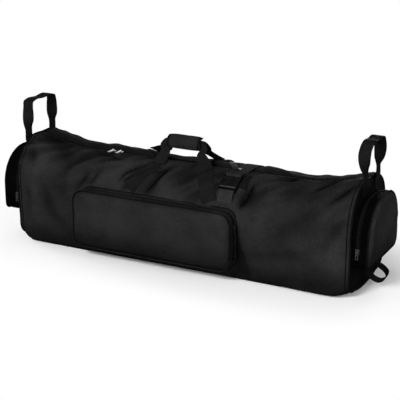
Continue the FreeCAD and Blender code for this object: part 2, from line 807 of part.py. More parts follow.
def make_pocket(name, origin, u_way, w_way, size, depth, strip, slider_height, slider_side):
    """Every piece of one pocket, with the zipper along its sides and top."""
    half_width, base, top, corner, arch = size

    def ring(outset, inset, near, far):
        run = point(0, 0, far - near)
        outer = pocket_outline(size, -outset, near).extrude(run)
        return outer.cut(pocket_outline(size, inset, near).extrude(run))

    def lay(shape):
        return placed(shape, origin, u_way, up, w_way)

    zip_foot = base + corner
    zip_middle = strip + pocket_lip_half
    near = seam_gap
    far = depth - seam_gap
    above = block(point(-case_length, zip_foot, -case_depth), point(case_length, case_length, case_depth))
    below = block(point(-case_length, 0, -case_depth), point(case_length, zip_foot, case_depth))
    rear_strip = ring(0, pocket_wall, near, strip).common(above)
    bottom = ring(0, pocket_wall, near, far).common(below)
    shapes[name + "_gusset"] = lay(rear_strip.fuse(bottom).removeSplitter())
    shapes[name + "_base_piping"] = lay(ring(piping_size, -seam_gap, near, near + piping_size))

    clear_above = block(
        point(-case_length, zip_foot + seam_gap, -case_depth), point(case_length, case_length, case_depth))
    tape_inset = pocket_wall + tape_thickness
    tape_ring_low = strip - pocket_tape_tuck
    tape_ring_high = zip_middle + pocket_lip_half + pocket_tape_tuck
    rear_tape = ring(-pocket_wall, tape_inset, tape_ring_low, zip_middle - teeth_gap_half)
    face_tape = ring(-pocket_wall, tape_inset, zip_middle + teeth_gap_half, tape_ring_high)
    shapes[name + "_zip_base"] = lay(rear_tape.common(clear_above))
    shapes[name + "_zip_face"] = lay(face_tape.common(clear_above))

    front_strip = ring(0, pocket_wall, zip_middle + pocket_lip_half, depth).common(clear_above)
    panel = pocket_outline(size, 0, depth).extrude(point(0, 0, pocket_face))
    shapes[name + "_cover"] = lay(front_strip.fuse(panel).removeSplitter())
    shapes[name + "_cover_piping"] = lay(ring(piping_size, -seam_gap, depth, depth + piping_size))

    tape_depth = pocket_wall + tape_thickness / 2
    seat_u = slider_side * (half_width - tape_depth)
    seat = origin + u_way * seat_u + up * slider_height + w_way * zip_middle
    out_way = u_way * slider_side
    shapes[name + "_slider"] = placed(zip_slider(pocket_bail_turn), seat, up, out_way.cross(up), out_way)
    shapes[name + "_pull"] = placed(zip_pull(pocket_pull_length), seat, up.cross(out_way), up, out_way)


front_size = (
    front_pocket_half_width, front_pocket_base, front_pocket_top, front_pocket_corner, front_pocket_corner)
end_size = (end_pocket_half_width, end_pocket_base, end_pocket_top, end_pocket_corner, end_pocket_arch)
end_slider_height = end_pocket_base + end_slider_rise
make_pocket(
    "front_pocket", point(front_pocket_x, -half_depth, 0), east, north * -1, front_size,
    front_pocket_depth, front_pocket_strip, front_pocket_top - pocket_slider_drop, 1)
make_pocket(
    "right_pocket", point(half_length, 0, 0), north, east, end_size,
    right_pocket_depth, end_pocket_strip, end_slider_height, -1)
make_pocket(
    "left_pocket", point(-half_length, 0, 0), north * -1, east * -1, end_size,
    left_pocket_depth, end_pocket_strip, end_slider_height, 1)

os.makedirs("parts", exist_ok=True)
for node, shape in shapes.items():
    shape.exportStep("parts/" + node + ".step")
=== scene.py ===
import math
import bmesh
import bpy
import numpy as np
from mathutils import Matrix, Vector, noise


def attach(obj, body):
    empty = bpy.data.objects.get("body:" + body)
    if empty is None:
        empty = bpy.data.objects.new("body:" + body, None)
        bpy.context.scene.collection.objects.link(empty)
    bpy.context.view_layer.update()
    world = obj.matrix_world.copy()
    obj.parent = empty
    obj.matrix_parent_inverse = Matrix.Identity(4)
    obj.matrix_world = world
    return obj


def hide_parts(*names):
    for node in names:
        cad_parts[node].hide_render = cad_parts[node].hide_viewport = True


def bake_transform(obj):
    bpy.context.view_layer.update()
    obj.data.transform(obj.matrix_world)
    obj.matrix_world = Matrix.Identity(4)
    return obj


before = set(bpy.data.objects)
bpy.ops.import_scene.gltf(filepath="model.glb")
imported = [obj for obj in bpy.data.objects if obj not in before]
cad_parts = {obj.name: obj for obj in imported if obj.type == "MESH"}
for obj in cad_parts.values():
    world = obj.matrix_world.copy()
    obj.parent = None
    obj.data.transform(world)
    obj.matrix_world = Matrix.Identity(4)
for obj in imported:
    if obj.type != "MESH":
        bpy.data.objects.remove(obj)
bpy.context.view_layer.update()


# Studio: a pale floor that runs up into a white background, lit by large soft lamps, and the camera
# at the photograph's angle, a little to the right of the case and above it.
def finish_material(name, roughness, specular, sheen=0.0):
    """A material with its even values set on the shader, and its node tools."""
    made = bpy.data.materials.new(name)
    made.use_nodes = True
    nodes, links = made.node_tree.nodes, made.node_tree.links
    shader = nodes["Principled BSDF"]
    shader.inputs["Roughness"].default_value = roughness
    shader.inputs["Specular IOR Level"].default_value = specular
    shader.inputs["Sheen Weight"].default_value = sheen
    shader.inputs["Sheen Roughness"].default_value = 0.45
    return made, nodes, links, shader


def tool(nodes, kind, **values):
    """A shader node, with the inputs that are named set to their values."""
    made = nodes.new("ShaderNode" + kind)
    for name, value in values.items():
        made.inputs[name.replace("_", " ")].default_value = value
    return made


def sums(nodes, links, operation, *values):
    """A math node of the given sockets or numbers."""
    node = nodes.new("ShaderNodeMath")
    node.operation = operation
    for socket, value in zip(node.inputs, values):
        if isinstance(value, (int, float)):
            socket.default_value = value
        else:
            links.new(value, socket)
    return node.outputs[0]


def mixed(nodes, links, share, first, second):
    """The first shader where share is 0, and the second where it is 1."""
    node = nodes.new("ShaderNodeMixShader")
    for socket, value in zip(node.inputs, (share, first, second)):
        links.new(value, socket)
    return node.outputs[0]


def ways_of_seeing(nodes, links):
    """Two switches: for what the camera sees straight, and for that with mirrors and glass as well."""
    rays = nodes.new("ShaderNodeLightPath").outputs
    straight = rays["Is Camera Ray"]
    mirrored = sums(nodes, links, "MAXIMUM", straight, rays["Is Glossy Ray"])
    return straight, sums(nodes, links, "MAXIMUM", mirrored, rays["Is Transmission Ray"])


bpy.ops.mesh.primitive_plane_add(size=60.0, location=(0, 0, -0.0015))
floor = bpy.context.object
floor.name = "studio_floor"
paper, nodes, links, shader = finish_material("white paper", 0.9, 0.1)
shader.inputs["Base Color"].default_value = (0.95, 0.95, 0.95, 1)
# The paper throws little light up at the case, and runs into the white of the room away from it
dull = tool(nodes, "BsdfDiffuse", Color=(0.30, 0.30, 0.30, 1))
spread, far = nodes.new("ShaderNodeVectorMath"), nodes.new("ShaderNodeVectorMath")
spread.operation, far.operation = "MULTIPLY", "LENGTH"
spread.inputs[1].default_value = (0.55, 1.0, 0.0)
links.new(nodes.new("ShaderNodeTexCoord").outputs["Object"], spread.inputs[0])
links.new(spread.outputs[0], far.inputs[0])
reach = tool(nodes, "MapRange", From_Min=0.28, From_Max=0.62)
reach.interpolation_type = "SMOOTHSTEP"
links.new(far.outputs["Value"], reach.inputs["Value"])
straight, seen = ways_of_seeing(nodes, links)
shown = mixed(nodes, links, straight, dull.outputs[0], shader.outputs[0])
faded = sums(nodes, links, "MULTIPLY", seen, reach.outputs[0])
surface = mixed(nodes, links, faded, shown, nodes.new("ShaderNodeEmission").outputs[0])
links.new(surface, nodes["Material Output"].inputs["Surface"])
floor.data.materials.append(paper)

for name, place, aim, size, power in (
        ("key softbox", (-0.2, -3.5, 2.4), (0.2, 0, 0.2), (1.1, 0.8), 165),
        ("front softbox", (0.9, -3.8, 0.8), (0.15, 0, 0.15), (1.2, 0.8), 85),
        ("right softbox", (3.4, -0.8, 1.3), (0.3, 0, 0.2), (0.8, 1.0), 22),
        ("left softbox", (-3.4, 0.6, 1.5), (-0.3, 0, 0.2), (0.8, 1.0), 30),
        ("rear softbox", (0.2, 3.9, 0.75), (0, 0, 0.12), (1.6, 0.8), 95)):
    lamp = bpy.data.lights.new(name, "AREA")
    lamp.shape = "RECTANGLE"
    lamp.size, lamp.size_y = size
    lamp.energy = power
    holder = bpy.data.objects.new(name, lamp)
    bpy.context.scene.collection.objects.link(holder)
    holder.location = place
    holder.rotation_euler = (Vector(aim) - Vector(place)).to_track_quat("-Z", "Y").to_euler()

world = bpy.data.worlds.new("white room")
bpy.context.scene.world = world
world.use_nodes = True
nodes, links = world.node_tree.nodes, world.node_tree.links
bright, lit = nodes["Background"], nodes.new("ShaderNodeBackground")
for background, strength in ((bright, 1.0), (lit, 0.17)):
    background.inputs["Color"].default_value = (1, 1, 1, 1)
    background.inputs["Strength"].default_value = strength
surface = mixed(nodes, links, ways_of_seeing(nodes, links)[1], lit.outputs[0], bright.outputs[0])
links.new(surface, nodes["World Output"].inputs["Surface"])
bpy.context.scene.view_settings.view_transform = "Standard"

azimuth, elevation, distance = math.radians(27.2), math.radians(18.6), 3.83
back = Vector((
    math.sin(azimuth) * math.cos(elevation), -math.cos(azimuth) * math.cos(elevation), math.sin(elevation)))
camera = bpy.data.objects.new("camera", bpy.data.cameras.new("camera"))
bpy.context.scene.collection.objects.link(camera)
camera.location = Vector((0, 0, 0.15)) + back * distance
camera.rotation_euler = (-back).to_track_quat("-Z", "Y").to_euler()
camera.data.lens = 106.8
camera.data.shift_x = 0.0118
camera.data.shift_y = 0.0223
bpy.context.scene.camera = camera


# Cloth of the case: heavy black woven nylon over thin foam, in one long tube that is flat below, upright
# at the sides and rounded over the top. It is cut as a base, two sides and two top flaps, and the flaps
# stay sewn down near the ends.
half_length = 0.584
half_depth = 0.155
shoulder = 0.210
fold = 0.233
crown_flat = 0.030
crown_arc = 0.170
cloth = 0.004
across_x = np.linspace(-half_length, half_length, 293)
strap_x = 0.176

corner_rows = np.linspace(0, 1, 9)[:-1]
wall_rows = np.linspace(0, 1, 37)[:-1]
low_crown_rows = np.linspace(0, 1, 6)
crown_rows = np.linspace(0, 1, 47)[1:]
flat_rows = np.linspace(0, 1, 7)[1:]
fold_row = len(corner_rows) + len(wall_rows) + len(low_crown_rows) - 1


# Folds, in millimetres, as a path of (x, height along the cloth), then how deep and how wide. A depth
# below zero is a ridge
front_folds = [
    ([(-185, 261), (-154, 302), (-95, 352)], 8.5, 10),
    ([(-100, 233), (-80, 279), (-62, 340)], 7, 10),
    ([(-183, 233), (-144, 281)], 4, 8),
    ([(-390, 237), (-352, 279), (-318, 316)], -7, 17),
    ([(-350, 207), (-313, 277)], 4, 9),
    ([(-552, 317), (-528, 270)], 4, 13),
    ([(226, 236), (239, 278), (250, 323)], 8.5, 11),
    ([(331, 354), (370, 388)], 3.5, 7),
    ([(433, 324), (500, 396)], 4.5, 9),
    ([(507, 283), (570, 351)], 4.5, 10),
    ([(351, 348), (372, 386)], 3, 7),
    ([(205, 180), (222, 98), (243, 43), (262, 10)], 7.5, 18),
    ([(-168, 308), (-118, 360)], 4, 8),
    ([(-90, 313), (-45, 360)], 4, 8),
    ([(-500, 392), (-406, 310), (-393, 201)], 3, 19),
    ([(-360, 386), (-220, 346)], 4, 12),
    ([(-485, 215), (-450, 120), (-395, 60)], 4.8, 22),
    ([(-281, 290), (-302, 232)], 3.5, 10),
    ([(435, 274), (483, 309)], -3, 12),
    ([(340, 300), (420, 345)], 2.5, 13),
    ([(300, 150), (420, 210), (520, 230)], 2, 26),
    ([(560, 245), (520, 180), (500, 140)], 4, 17),
    ([(250, 83), (450, 118)], 3, 18),
    ([(-540, 200), (-545, 100)], 3, 14),
    ([(-150, 335), (-190, 290), (-200, 262)], 5, 9),
]
rear_folds = [
    ([(-400, 250), (-300, 320)], 5, 12),
    ([(-240, 245), (-180, 330)], 6, 11),
    ([(80, 240), (110, 330)], 6, 11),
    ([(260, 235), (250, 320)], 5.5, 11),
    ([(380, 250), (470, 340)], 4, 12),
    ([(-520, 230), (-430, 130)], 3.5, 22),
    ([(-120, 180), (60, 120)], 3, 26),
    ([(330, 190), (480, 90)], 3, 26),
]


def smooth(t):
    t = np.clip(t, 0, 1)
    return t * t * (3 - 2 * t)


def unit(ways):
    """Ways made 1 long."""
    return ways / np.maximum(np.linalg.norm(ways, axis=-1, keepdims=True), 1e-12)


def crown_height(x):
    """Height of the top, level in the middle and drawn up to the ends."""
    return 0.307 + 0.038 * np.clip((np.abs(x) - 0.4) / 0.184, 0, None) ** 1.5


def crease(x, v, path, depth, width):
    """A fold along a path, deepest halfway, with a softer swell beside it."""
    nearest = np.full(x.shape, 9.0)
    beside = np.zeros(x.shape)
    along = np.zeros(x.shape)
    runs = [math.dist(a, b) for a, b in zip(path, path[1:])]
    start = 0.0
    for (a, b), run in zip(zip(path, path[1:]), runs):
        dx, dv = (b[0] - a[0]) / run, (b[1] - a[1]) / run
        t = np.clip((x - a[0]) * dx + (v - a[1]) * dv, 0, run)
        ox, ov = x - a[0] - t * dx, v - a[1] - t * dv
        gap = np.hypot(ox, ov)
        closer = gap < nearest
        nearest = np.where(closer, gap, nearest)
        beside = np.where(closer, ox * dv - ov * dx, beside)
        along = np.where(closer, (start + t) / sum(runs), along)
        start += run
    fade = np.sin(math.pi * np.clip(along * 0.9 + 0.05, 0, 1)) ** 0.6
    width = 1.5 * width
    valley = np.exp(-(nearest / width) ** 2)
    swell = np.exp(-((beside + 1.6 * width) / (1.1 * width)) ** 2) * np.exp(-(nearest / (3 * width)) ** 4)
    return fade * depth * (0.75 * swell - 1.9 * valley)


def drift(x, v, seed, along_x, along_v):
    """Slow unevenness of stuffed cloth."""
    flat_x, flat_v = x.ravel() * along_x, v.ravel() * along_v
    return np.array([noise.noise((a, b, seed)) for a, b in zip(flat_x, flat_v)]).reshape(x.shape)


def side_of_case(side):
    """The folds of one side in metres, and the seed of its unevenness."""
    folds, seed = (front_folds, 3.1) if side < 0 else (rear_folds, 8.7)
    return [([(x / 1000, v / 1000) for x, v in path], depth / 1000, width / 1000)
            for path, depth, width in folds], seed


def slanting(x, v, seed):
    """Unevenness in slanting bands, as drawn cloth has."""
    return drift(x * 0.8 + v * 0.6, v * 0.8 - x * 0.6, seed + 5, 7.0, 22.0)


def painted_shade(x, v, side):
    """Painted shade for each place, from 0 on the open cloth to 1: darker in folds, most at the bottom of a
    sharp one, towards the bottom of the side, near the lip at the top, and in cloudy patches and slanting
    streaks.
    """
    folds, seed = side_of_case(side)
    # Painted shade, darker towards the bottom of the cloth and near the lip at the top
    deep = 0.72 * smooth((0.105 - v) / 0.10) + 0.50 * smooth((v - 0.365) / 0.025)
    # Painted shade in cloudy patches and in slanting streaks
    cloudy = np.clip(0.42 + 1.5 * drift(x, v, seed + 2, 6.0, 9.0), 0, 1)
    streaks = np.clip(np.abs(slanting(x, v, seed)) * 2.6 - 0.30, 0, 1) * smooth((v - 0.19) / 0.08)
    deep = deep + (0.34 * cloudy + 0.42 * streaks) * (1 - deep)
    # Painted shade in each fold, darkest at the bottom of the sharp ones
    for path, depth, width in folds:
        pressed = np.clip(-crease(x, v, path, depth, 0.85 * width) / 0.0150, 0, 0.60)
        if width <= 0.012:
            sharp = np.clip(-crease(x, v, path, depth, 0.24 * width) / 0.0075, 0, 1)
            pressed = np.maximum(pressed, sharp)
        deep = deep + pressed * (1 - deep)
    return np.clip(deep, 0, 1)


def swell_of(x, v, side):
    """How far the cloth stands out from its cut shape."""
    folds, seed = side_of_case(side)
    near_end = smooth((np.abs(x) - 0.49) / 0.09)
    out = 0.0085 * np.sin(math.pi * np.clip((v - 0.020) / 0.25, 0, 1)) * (1 - 0.8 * near_end)
    calm = smooth((0.402 - v) / 0.03) * smooth(v / 0.03)
    out = out + 0.0075 * drift(x, v, seed, 4.0, 7.0) * calm
    out = out + 0.0034 * (1 - np.abs(slanting(x, v, seed)) * 2.6) * smooth((v - 0.2) / 0.08) * calm
    out = out + 0.0018 * drift(x * 0.7 - v * 0.7, v * 0.7 + x * 0.7, seed + 9, 30.0, 9.0) * calm
    for path, depth, width in folds:
        out = out + crease(x, v, path, depth, width) * calm
    if side < 0:
        out = out + 0.009 * np.exp(-((x - 0.48) / 0.10) ** 2 - ((v - 0.045) / 0.06) ** 2) * smooth(v / 0.012)
    under_strap = 1 - np.exp(-((x - strap_x) / 0.034) ** 4)
    return out * (0.12 + 0.88 * under_strap) - 0.0012 * (1 - under_strap) * calm


def cut_shape(side):
    """Rows of points up one side of the case, with each row's height along the cloth."""
    x = across_x
    top = crown_height(x)
    near_end = smooth((np.abs(x) - 0.52) / 0.064)
    turn = 0.016 + 0.022 * near_end
    tuck = 0.008 * np.clip((np.abs(x) - 0.55) / 0.034, 0, None) ** 2
    lift = 0.009 * near_end ** 2
    fold_angle = np.arcsin((fold - shoulder) / (top - shoulder))
    lip = 0.010 - 0.0094 * smooth((np.abs(x) - 0.530) / 0.020)
    rows = []
    for a in corner_rows * math.pi / 2:
        z = tuck + turn - turn * math.cos(a)
        rows.append((half_depth - tuck - turn + turn * math.sin(a), z, z))
    for t in wall_rows:
        z = tuck + turn + (shoulder - tuck - turn) * t
        rows.append((half_depth - tuck, z, z))
    steep = [fold_angle * t for t in low_crown_rows]
    for a in steep + [fold_angle + (math.pi / 2 - fold_angle) * t for t in crown_rows]:
        y = crown_flat + (half_depth - tuck - crown_flat) * np.cos(a)
        z = shoulder + (top - tuck - shoulder) * np.sin(a)
        rows.append((y, z, shoulder + crown_arc * a / (math.pi / 2)))
    for t in flat_rows:
        rows.append((crown_flat + (lip - crown_flat) * t, top - tuck, shoulder + crown_arc + 0.02 * t))
    points, heights = [], []
    for y, z, v in rows:
        y, z, v = (np.broadcast_to(np.asarray(value, float), x.shape) for value in (y, z, v))
        points.append(np.stack([x, side * y, z + lift * np.clip(1 - z / 0.12, 0, 1)], axis=1))
        heights.append(v)
    return np.array(points), np.array(heights)


def outward(points, side):
    """Normals of a grid of points, away from the inside of the case."""
    return unit(np.cross(np.gradient(points, axis=1), np.gradient(points, axis=0)) * -side)


def make_skin(side):
    points, heights = cut_shape(side)
    ways = outward(points, side)
    wide_x = np.broadcast_to(across_x, heights.shape)
    points = points + ways * swell_of(wide_x, heights, side)[:, :, None]
    points[:, :, 2] = np.maximum(points[:, :, 2], 0.0)
    return {"points": points, "ways": outward(points, side), "heights": heights, "side": side}


def on_skin(skin, x, v, lift):
    """The place on the cloth at x and a height along it, and the way out there."""
    column = (x + half_length) / (2 * half_length) * (len(across_x) - 1)
    column = min(max(column, 0), len(across_x) - 1.001)
    c, share = int(column), column - int(column)
    found = []
    for k in (c, c + 1):
        line = skin["heights"][:, k]
        row = np.interp(v, line, np.arange(len(line)))
        r = min(int(row), len(line) - 2)
        step = row - r
        found.append([
            skin[name][r, k] * (1 - step) + skin[name][r + 1, k] * step for name in ("points", "ways")])
    place, way = (first * (1 - share) + second * share for first, second in zip(*found))
    way = unit(way)
    return place + way * lift, way


def tint(level, blue=1.04):
    """Grey, or a black that leans a little to blue."""
    return (level, level, level * blue)


def mottle(nodes, links, scale, detail, distortion=0.0):
    """Cloudy patches that are fixed to the object."""
    cloud = tool(nodes, "TexNoise", Scale=scale, Detail=detail, Distortion=distortion)
    links.new(nodes.new("ShaderNodeTexCoord").outputs["Object"], cloud.inputs["Vector"])
    return cloud.outputs["Fac"]


def ramp(nodes, links, source, stops):
    """Colours along a value, from the first of two stops to the second."""
    node = nodes.new("ShaderNodeValToRGB")
    links.new(source, node.inputs[0])
    for element, (place, colour) in zip(node.color_ramp.elements, stops):
        element.position = place
        element.color = (*colour, 1)
    return node.outputs[0]


def bumped(nodes, links, height, strength, distance):
    """A bump node that raises the surface by height."""
    bump = tool(nodes, "Bump", Strength=strength, Distance=distance)
    links.new(height, bump.inputs["Height"])
    return bump


def woven(name, dark, light, pitch, depth, roughness, sheen=0.0, cross_only=False):
    """Threads over and under at a real pitch, with uneven dye, patches of uneven roughness and, where the
    mesh carries it, painted shade.
    """
    made, nodes, links, shader = finish_material(name, roughness, 0.001, sheen)

    def reckoned(operation, *values):
        return sums(nodes, links, operation, *values)

    split = nodes.new("ShaderNodeSeparateXYZ")
    links.new(nodes.new("ShaderNodeTexCoord").outputs["UV"], split.inputs[0])
    turns = 2 * math.pi / pitch
    over = reckoned("SINE", reckoned("MULTIPLY", split.outputs[1], turns))
    if not cross_only:
        warp = reckoned("SINE", reckoned("MULTIPLY", split.outputs[0], turns))
        over = reckoned("MULTIPLY", warp, over)
    over = reckoned("MULTIPLY_ADD", over, 0.5, 0.5)
    broad, fine = mottle(nodes, links, 9.0, 3.0), mottle(nodes, links, 160.0, 2.0)
    shade = reckoned("ADD", reckoned("MULTIPLY", broad, 0.45), reckoned(
        "ADD", reckoned("MULTIPLY", fine, 0.25), reckoned("MULTIPLY", over, 0.12)))
    colour = ramp(nodes, links, shade, [(0.22, tint(dark)), (0.62, tint(light))])
    bump = bumped(nodes, links, reckoned("ADD", over, reckoned("MULTIPLY", fine, 0.8)), 0.55, depth)
    if not cross_only:
        # Painted shade: the colour goes to near black where the mesh's shade attribute is high
        deep, sunk = nodes.new("ShaderNodeAttribute"), nodes.new("ShaderNodeMix")
        deep.attribute_name = "painted_shade"
        sunk.data_type = "RGBA"
        links.new(reckoned("MULTIPLY", deep.outputs["Fac"], 0.97), sunk.inputs["Factor"])
        links.new(colour, sunk.inputs["A"])
        sunk.inputs["B"].default_value = (0.0007, 0.0007, 0.0008, 1)
        colour = sunk.outputs["Result"]
        # Small creases, a centimetre or two apart, that cloth keeps from being folded
        crumple = reckoned("ABSOLUTE", reckoned("SUBTRACT", mottle(nodes, links, 15.0, 2.0, 0.6), 0.5))
        links.new(bumped(nodes, links, crumple, 0.85, 0.012).outputs[0], bump.inputs["Normal"])
    links.new(colour, shader.inputs["Base Color"])
    links.new(reckoned("MULTIPLY_ADD", broad, 0.22, roughness - 0.11), shader.inputs["Roughness"])
    links.new(bump.outputs[0], shader.inputs["Normal"])
    return made


nylon = woven("black woven nylon", 0.0058, 0.0262, 0.0011, 0.00022, 0.42)


def piece(name, points, faces, material, uv=None, ways=None, shade=None):
    """A mesh from points and faces, with its cloth coordinates and, where given, its own normals."""
    mesh = bpy.data.meshes.new(name)
    mesh.from_pydata([tuple(p) for p in points], [], [tuple(int(i) for i in f) for f in faces])
    mesh.update()
    if uv is not None:
        layer = mesh.uv_layers.new(name="cloth")
        corners = np.empty(len(mesh.loops), dtype=np.int64)
        mesh.loops.foreach_get("vertex_index", corners)
        layer.data.foreach_set("uv", np.asarray(uv, np.float32)[corners].ravel())
    mesh.polygons.foreach_set("use_smooth", [True] * len(mesh.polygons))
    if shade is not None:
        deep = mesh.attributes.new("painted_shade", "FLOAT", "POINT")
        deep.data.foreach_set("value", np.asarray(shade, np.float32))
    if ways is not None:
        mesh.normals_split_custom_set_from_vertices([tuple(w) for w in ways])
    made = bpy.data.objects.new(name, mesh)
    bpy.context.scene.collection.objects.link(made)
    mesh.materials.append(material)
    return made


def panel(name, points, ways, thickness, flip, uv, material=nylon, shade=None):
    """A padded sheet from a grid of points: its face, its lining and its cut edge."""
    rows, columns = points.shape[:2]
    count = rows * columns
    index = np.arange(count).reshape(rows, columns)
    quads = np.stack([index[:-1, :-1], index[:-1, 1:], index[1:, 1:], index[1:, :-1]], -1).reshape(-1, 4)
    if flip:
        quads = quads[:, ::-1]
    outer = points.reshape(-1, 3)
    inner = (points - ways * thickness).reshape(-1, 3)
    border = np.concatenate([index[0, :], index[1:, -1], index[-1, -2::-1], index[-2:0:-1, 0]])
    start = 2 * count
    n = len(border)
    near = start + np.arange(n)
    far = near + n
    edge = np.stack([near, far, np.roll(far, -1), np.roll(near, -1)], -1)
    if flip:
        edge = edge[:, ::-1]
    all_points = np.concatenate([outer, inner, outer[border], inner[border]])
    flat = ways.reshape(-1, 3)
    all_ways = np.concatenate([flat, -flat, np.zeros((2 * n, 3))])
    flat_uv = uv.reshape(-1, 2)
    all_uv = np.concatenate([flat_uv, flat_uv, flat_uv[border], flat_uv[border]])
    faces = list(quads) + list(quads[:, ::-1] + count) + list(edge)
    if shade is not None:
        shade = shade.reshape(-1)
        shade = np.concatenate([shade, shade, shade[border], shade[border]])
    return piece(name, all_points, faces, material, all_uv, all_ways, shade)


front_skin = make_skin(-1)
rear_skin = make_skin(1)
# The top is cut into a left and a right half where the strap crosses it
split_column = int(np.argmin(np.abs(across_x - strap_x)))
for skin, side_name in ((front_skin, "front"), (rear_skin, "rear")):
    flip = skin["side"] > 0
    wide_x = np.broadcast_to(across_x, skin["heights"].shape)
    spread = np.stack([wide_x, skin["heights"]], -1)
    # Painted shade for the sides and the flaps
    shade = painted_shade(wide_x, skin["heights"], skin["side"])
    low = slice(0, fold_row + 1)
    side_cloth = panel(
        side_name + "_side_cloth", skin["points"][low], skin["ways"][low], cloth, flip, spread[low],
        shade=shade[low])
    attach(side_cloth, "case")
    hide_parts(side_name + "_panel")
    high = slice(fold_row, None)
    for half, end in (("left", -1), ("right", 1)):
        part = slice(0, split_column + 1) if end < 0 else slice(split_column, None)
        flap = panel(
            side_name + "_flap_cloth_" + half, skin["points"][high, part], skin["ways"][high, part],
            cloth, flip, spread[high, part], shade=shade[high, part])
        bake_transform(flap)
        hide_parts(side_name + "_top_panel", half + "_end_yoke")
    # The lining runs on across the fold, where the side and the flap meet
    bend, middle = slice(fold_row - 3, fold_row + 5), slice(38, -38)
    inside = (skin["points"] - skin["ways"] * 0.0016)[bend, middle]
    lining = panel(
        side_name + "_fold_lining", inside, skin["ways"][bend, middle], 0.0012, flip, spread[bend, middle])
    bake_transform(lining)


# Base of the case: the same nylon, laid over a stiff board that keeps the bottom flat. The board lies
# loose inside, between the lining and what the case carries.
base_y = np.linspace(-1, 1, 15)
front_edge, rear_edge = front_skin["points"][0], rear_skin["points"][0]
base_points = np.array([front_edge * (1 - t) / 2 + rear_edge * (1 + t) / 2 for t in base_y])
base_points[:, :, 2] = np.maximum(base_points[:, :, 2] * np.abs(base_y[:, None]) ** 3, 0)
base_ways = np.broadcast_to(np.array([0.0, 0.0, -1.0]), base_points.shape).copy()
base = panel("base_cloth", base_points, base_ways, cloth, True, base_points[:, :, :2])
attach(base, "case")
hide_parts("base_panel")


def clouded(name, dark, light, roughness, specular, scale, detail, low=0.30, high=0.70, vary=None, blue=1.04):
    """A finish mottled from dark to light. Its roughness is even, or the mottling times the first of
    vary plus the second."""
    made, nodes, links, shader = finish_material(name, roughness, specular)
    cloud = mottle(nodes, links, scale, detail)
    links.new(ramp(nodes, links, cloud, [(low, tint(dark, blue)), (high, tint(light, blue))]),
              shader.inputs["Base Color"])
    if vary:
        links.new(sums(nodes, links, "MULTIPLY_ADD", cloud, *vary), shader.inputs["Roughness"])
    return made, nodes, links, shader


board_finish = clouded("pressed black board", 0.020, 0.045, 0.7, 0.3, 240.0, 4.0, low=0.35, blue=1.0)[0]
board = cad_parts["base_board"]
board.data.materials.clear()
board.data.materials.append(board_finish)
softened = board.modifiers.new("rounded edges", "BEVEL")
softened.width = 0.001
softened.segments = 2


# Ends: an arched panel of nylon at each end, sewn to the tube with two rows of corded piping that stand
# out as a ridge round the seam.
def outline_at(column):
    """Closed loop round the case at one column of its cloth."""
    front = front_skin["points"][:, column]
    rear = rear_skin["points"][:, column]
    return np.concatenate([front, rear[::-1]])


def runs_along(line):
    """How far along a line each of its points is."""
    return np.concatenate([[0], np.cumsum(np.linalg.norm(np.diff(line, axis=0), axis=1))])


def evened(loop, count):
    """The same closed line in equal steps."""
    line = np.concatenate([loop, loop[:1]])
    runs = runs_along(line)
    wanted = np.linspace(0, runs[-1], count + 1)[:-1]
    return np.stack([np.interp(wanted, runs, line[:, k]) for k in range(3)], 1)


def softened_line(loop, rounds):
    """A closed line with its corners rounded off."""
    for _ in range(rounds):
        loop = loop / 2 + np.roll(loop, 1, 0) / 4 + np.roll(loop, -1, 0) / 4
    return loop


def ring_faces(rings, sides, closed=False, capped=True):
    """Faces from each ring of points to the next, and over the two open ends."""
    faces = []
    for k in range(rings if closed else rings - 1):
        after = (k + 1) % rings
        for s in range(sides):
            t = (s + 1) % sides
            faces.append((k * sides + s, k * sides + t, after * sides + t, after * sides + s))
    if capped and not closed:
        faces += [tuple(range(sides))[::-1], tuple((rings - 1) * sides + s for s in range(sides))]
    return faces


def tube(name, path, radius, material, closed=True, sides=8, beat=None):
    """A round cord along a path. A coil is a cord that swells at each beat: how long, and how much."""
    path = np.asarray(path, float)
    ahead = unit(np.roll(path, -1, 0) - np.roll(path, 1, 0) if closed else np.gradient(path, axis=0))
    guide = np.array([0.0, 0.0, 1.0]) if abs(ahead[0][2]) < 0.8 else np.array([1.0, 0.0, 0.0])
    points, uv = [], []
    for centre, step, run in zip(path, ahead, runs_along(path)):
        guide = unit(guide - step * (guide @ step))
        third = np.cross(step, guide)
        size = radius if beat is None else radius * (1 + beat[1] * math.sin(2 * math.pi * run / beat[0]))
        for a in 2 * math.pi * np.arange(sides) / sides:
            points.append(centre + size * (math.cos(a) * guide + math.sin(a) * third))
            uv.append((radius * a, run))
    return piece(name, points, ring_faces(len(path), sides, closed), material, uv, None)


def radial_panel(loop, centre_line, swell, way, rings=14):
    """A panel filled in from its outline to a line along its middle. swell gives how far a point stands
    out along way, from its share of the way in and its place."""
    shares = 1 - np.linspace(0, 1, rings) ** 1.3
    rows = []
    for share in shares:
        row = centre_line + (loop - centre_line) * share
        rows.append(row + way * swell(share, row)[:, None])
    points = np.array(rows)
    wrapped = np.concatenate([points, points[:, :1]], axis=1)
    run_u, run_v = np.gradient(wrapped, axis=1), np.gradient(wrapped, axis=0)
    run_u[:, 0] = run_u[:, -1] = (wrapped[:, 1] - wrapped[:, -2]) / 2
    ways = np.cross(run_u, run_v)
    ways = ways * np.sign(np.sum(ways * way, axis=2, keepdims=True))
    lengths = np.linalg.norm(ways, axis=2, keepdims=True)
    ways = np.where(lengths > 1e-9, ways / np.maximum(lengths, 1e-9), way)
    ways[-1] = way
    first_turn = np.sum(np.cross(wrapped[0, 1] - wrapped[0, 0], wrapped[1, 0] - wrapped[0, 0]) * way)
    return wrapped, ways, first_turn < 0


piping_finish = woven("corded black piping", 0.0018, 0.0065, 0.0009, 0.00015, 0.38)
end_face_x, seam_count = 0.5835, 260


def end_line(column):
    """The line round the case at one column of its cloth, and the ways out from the middle."""
    line = softened_line(evened(outline_at(column), seam_count), 3)
    return line, unit((line - line.mean(0)) * np.array([0, 1, 1]))


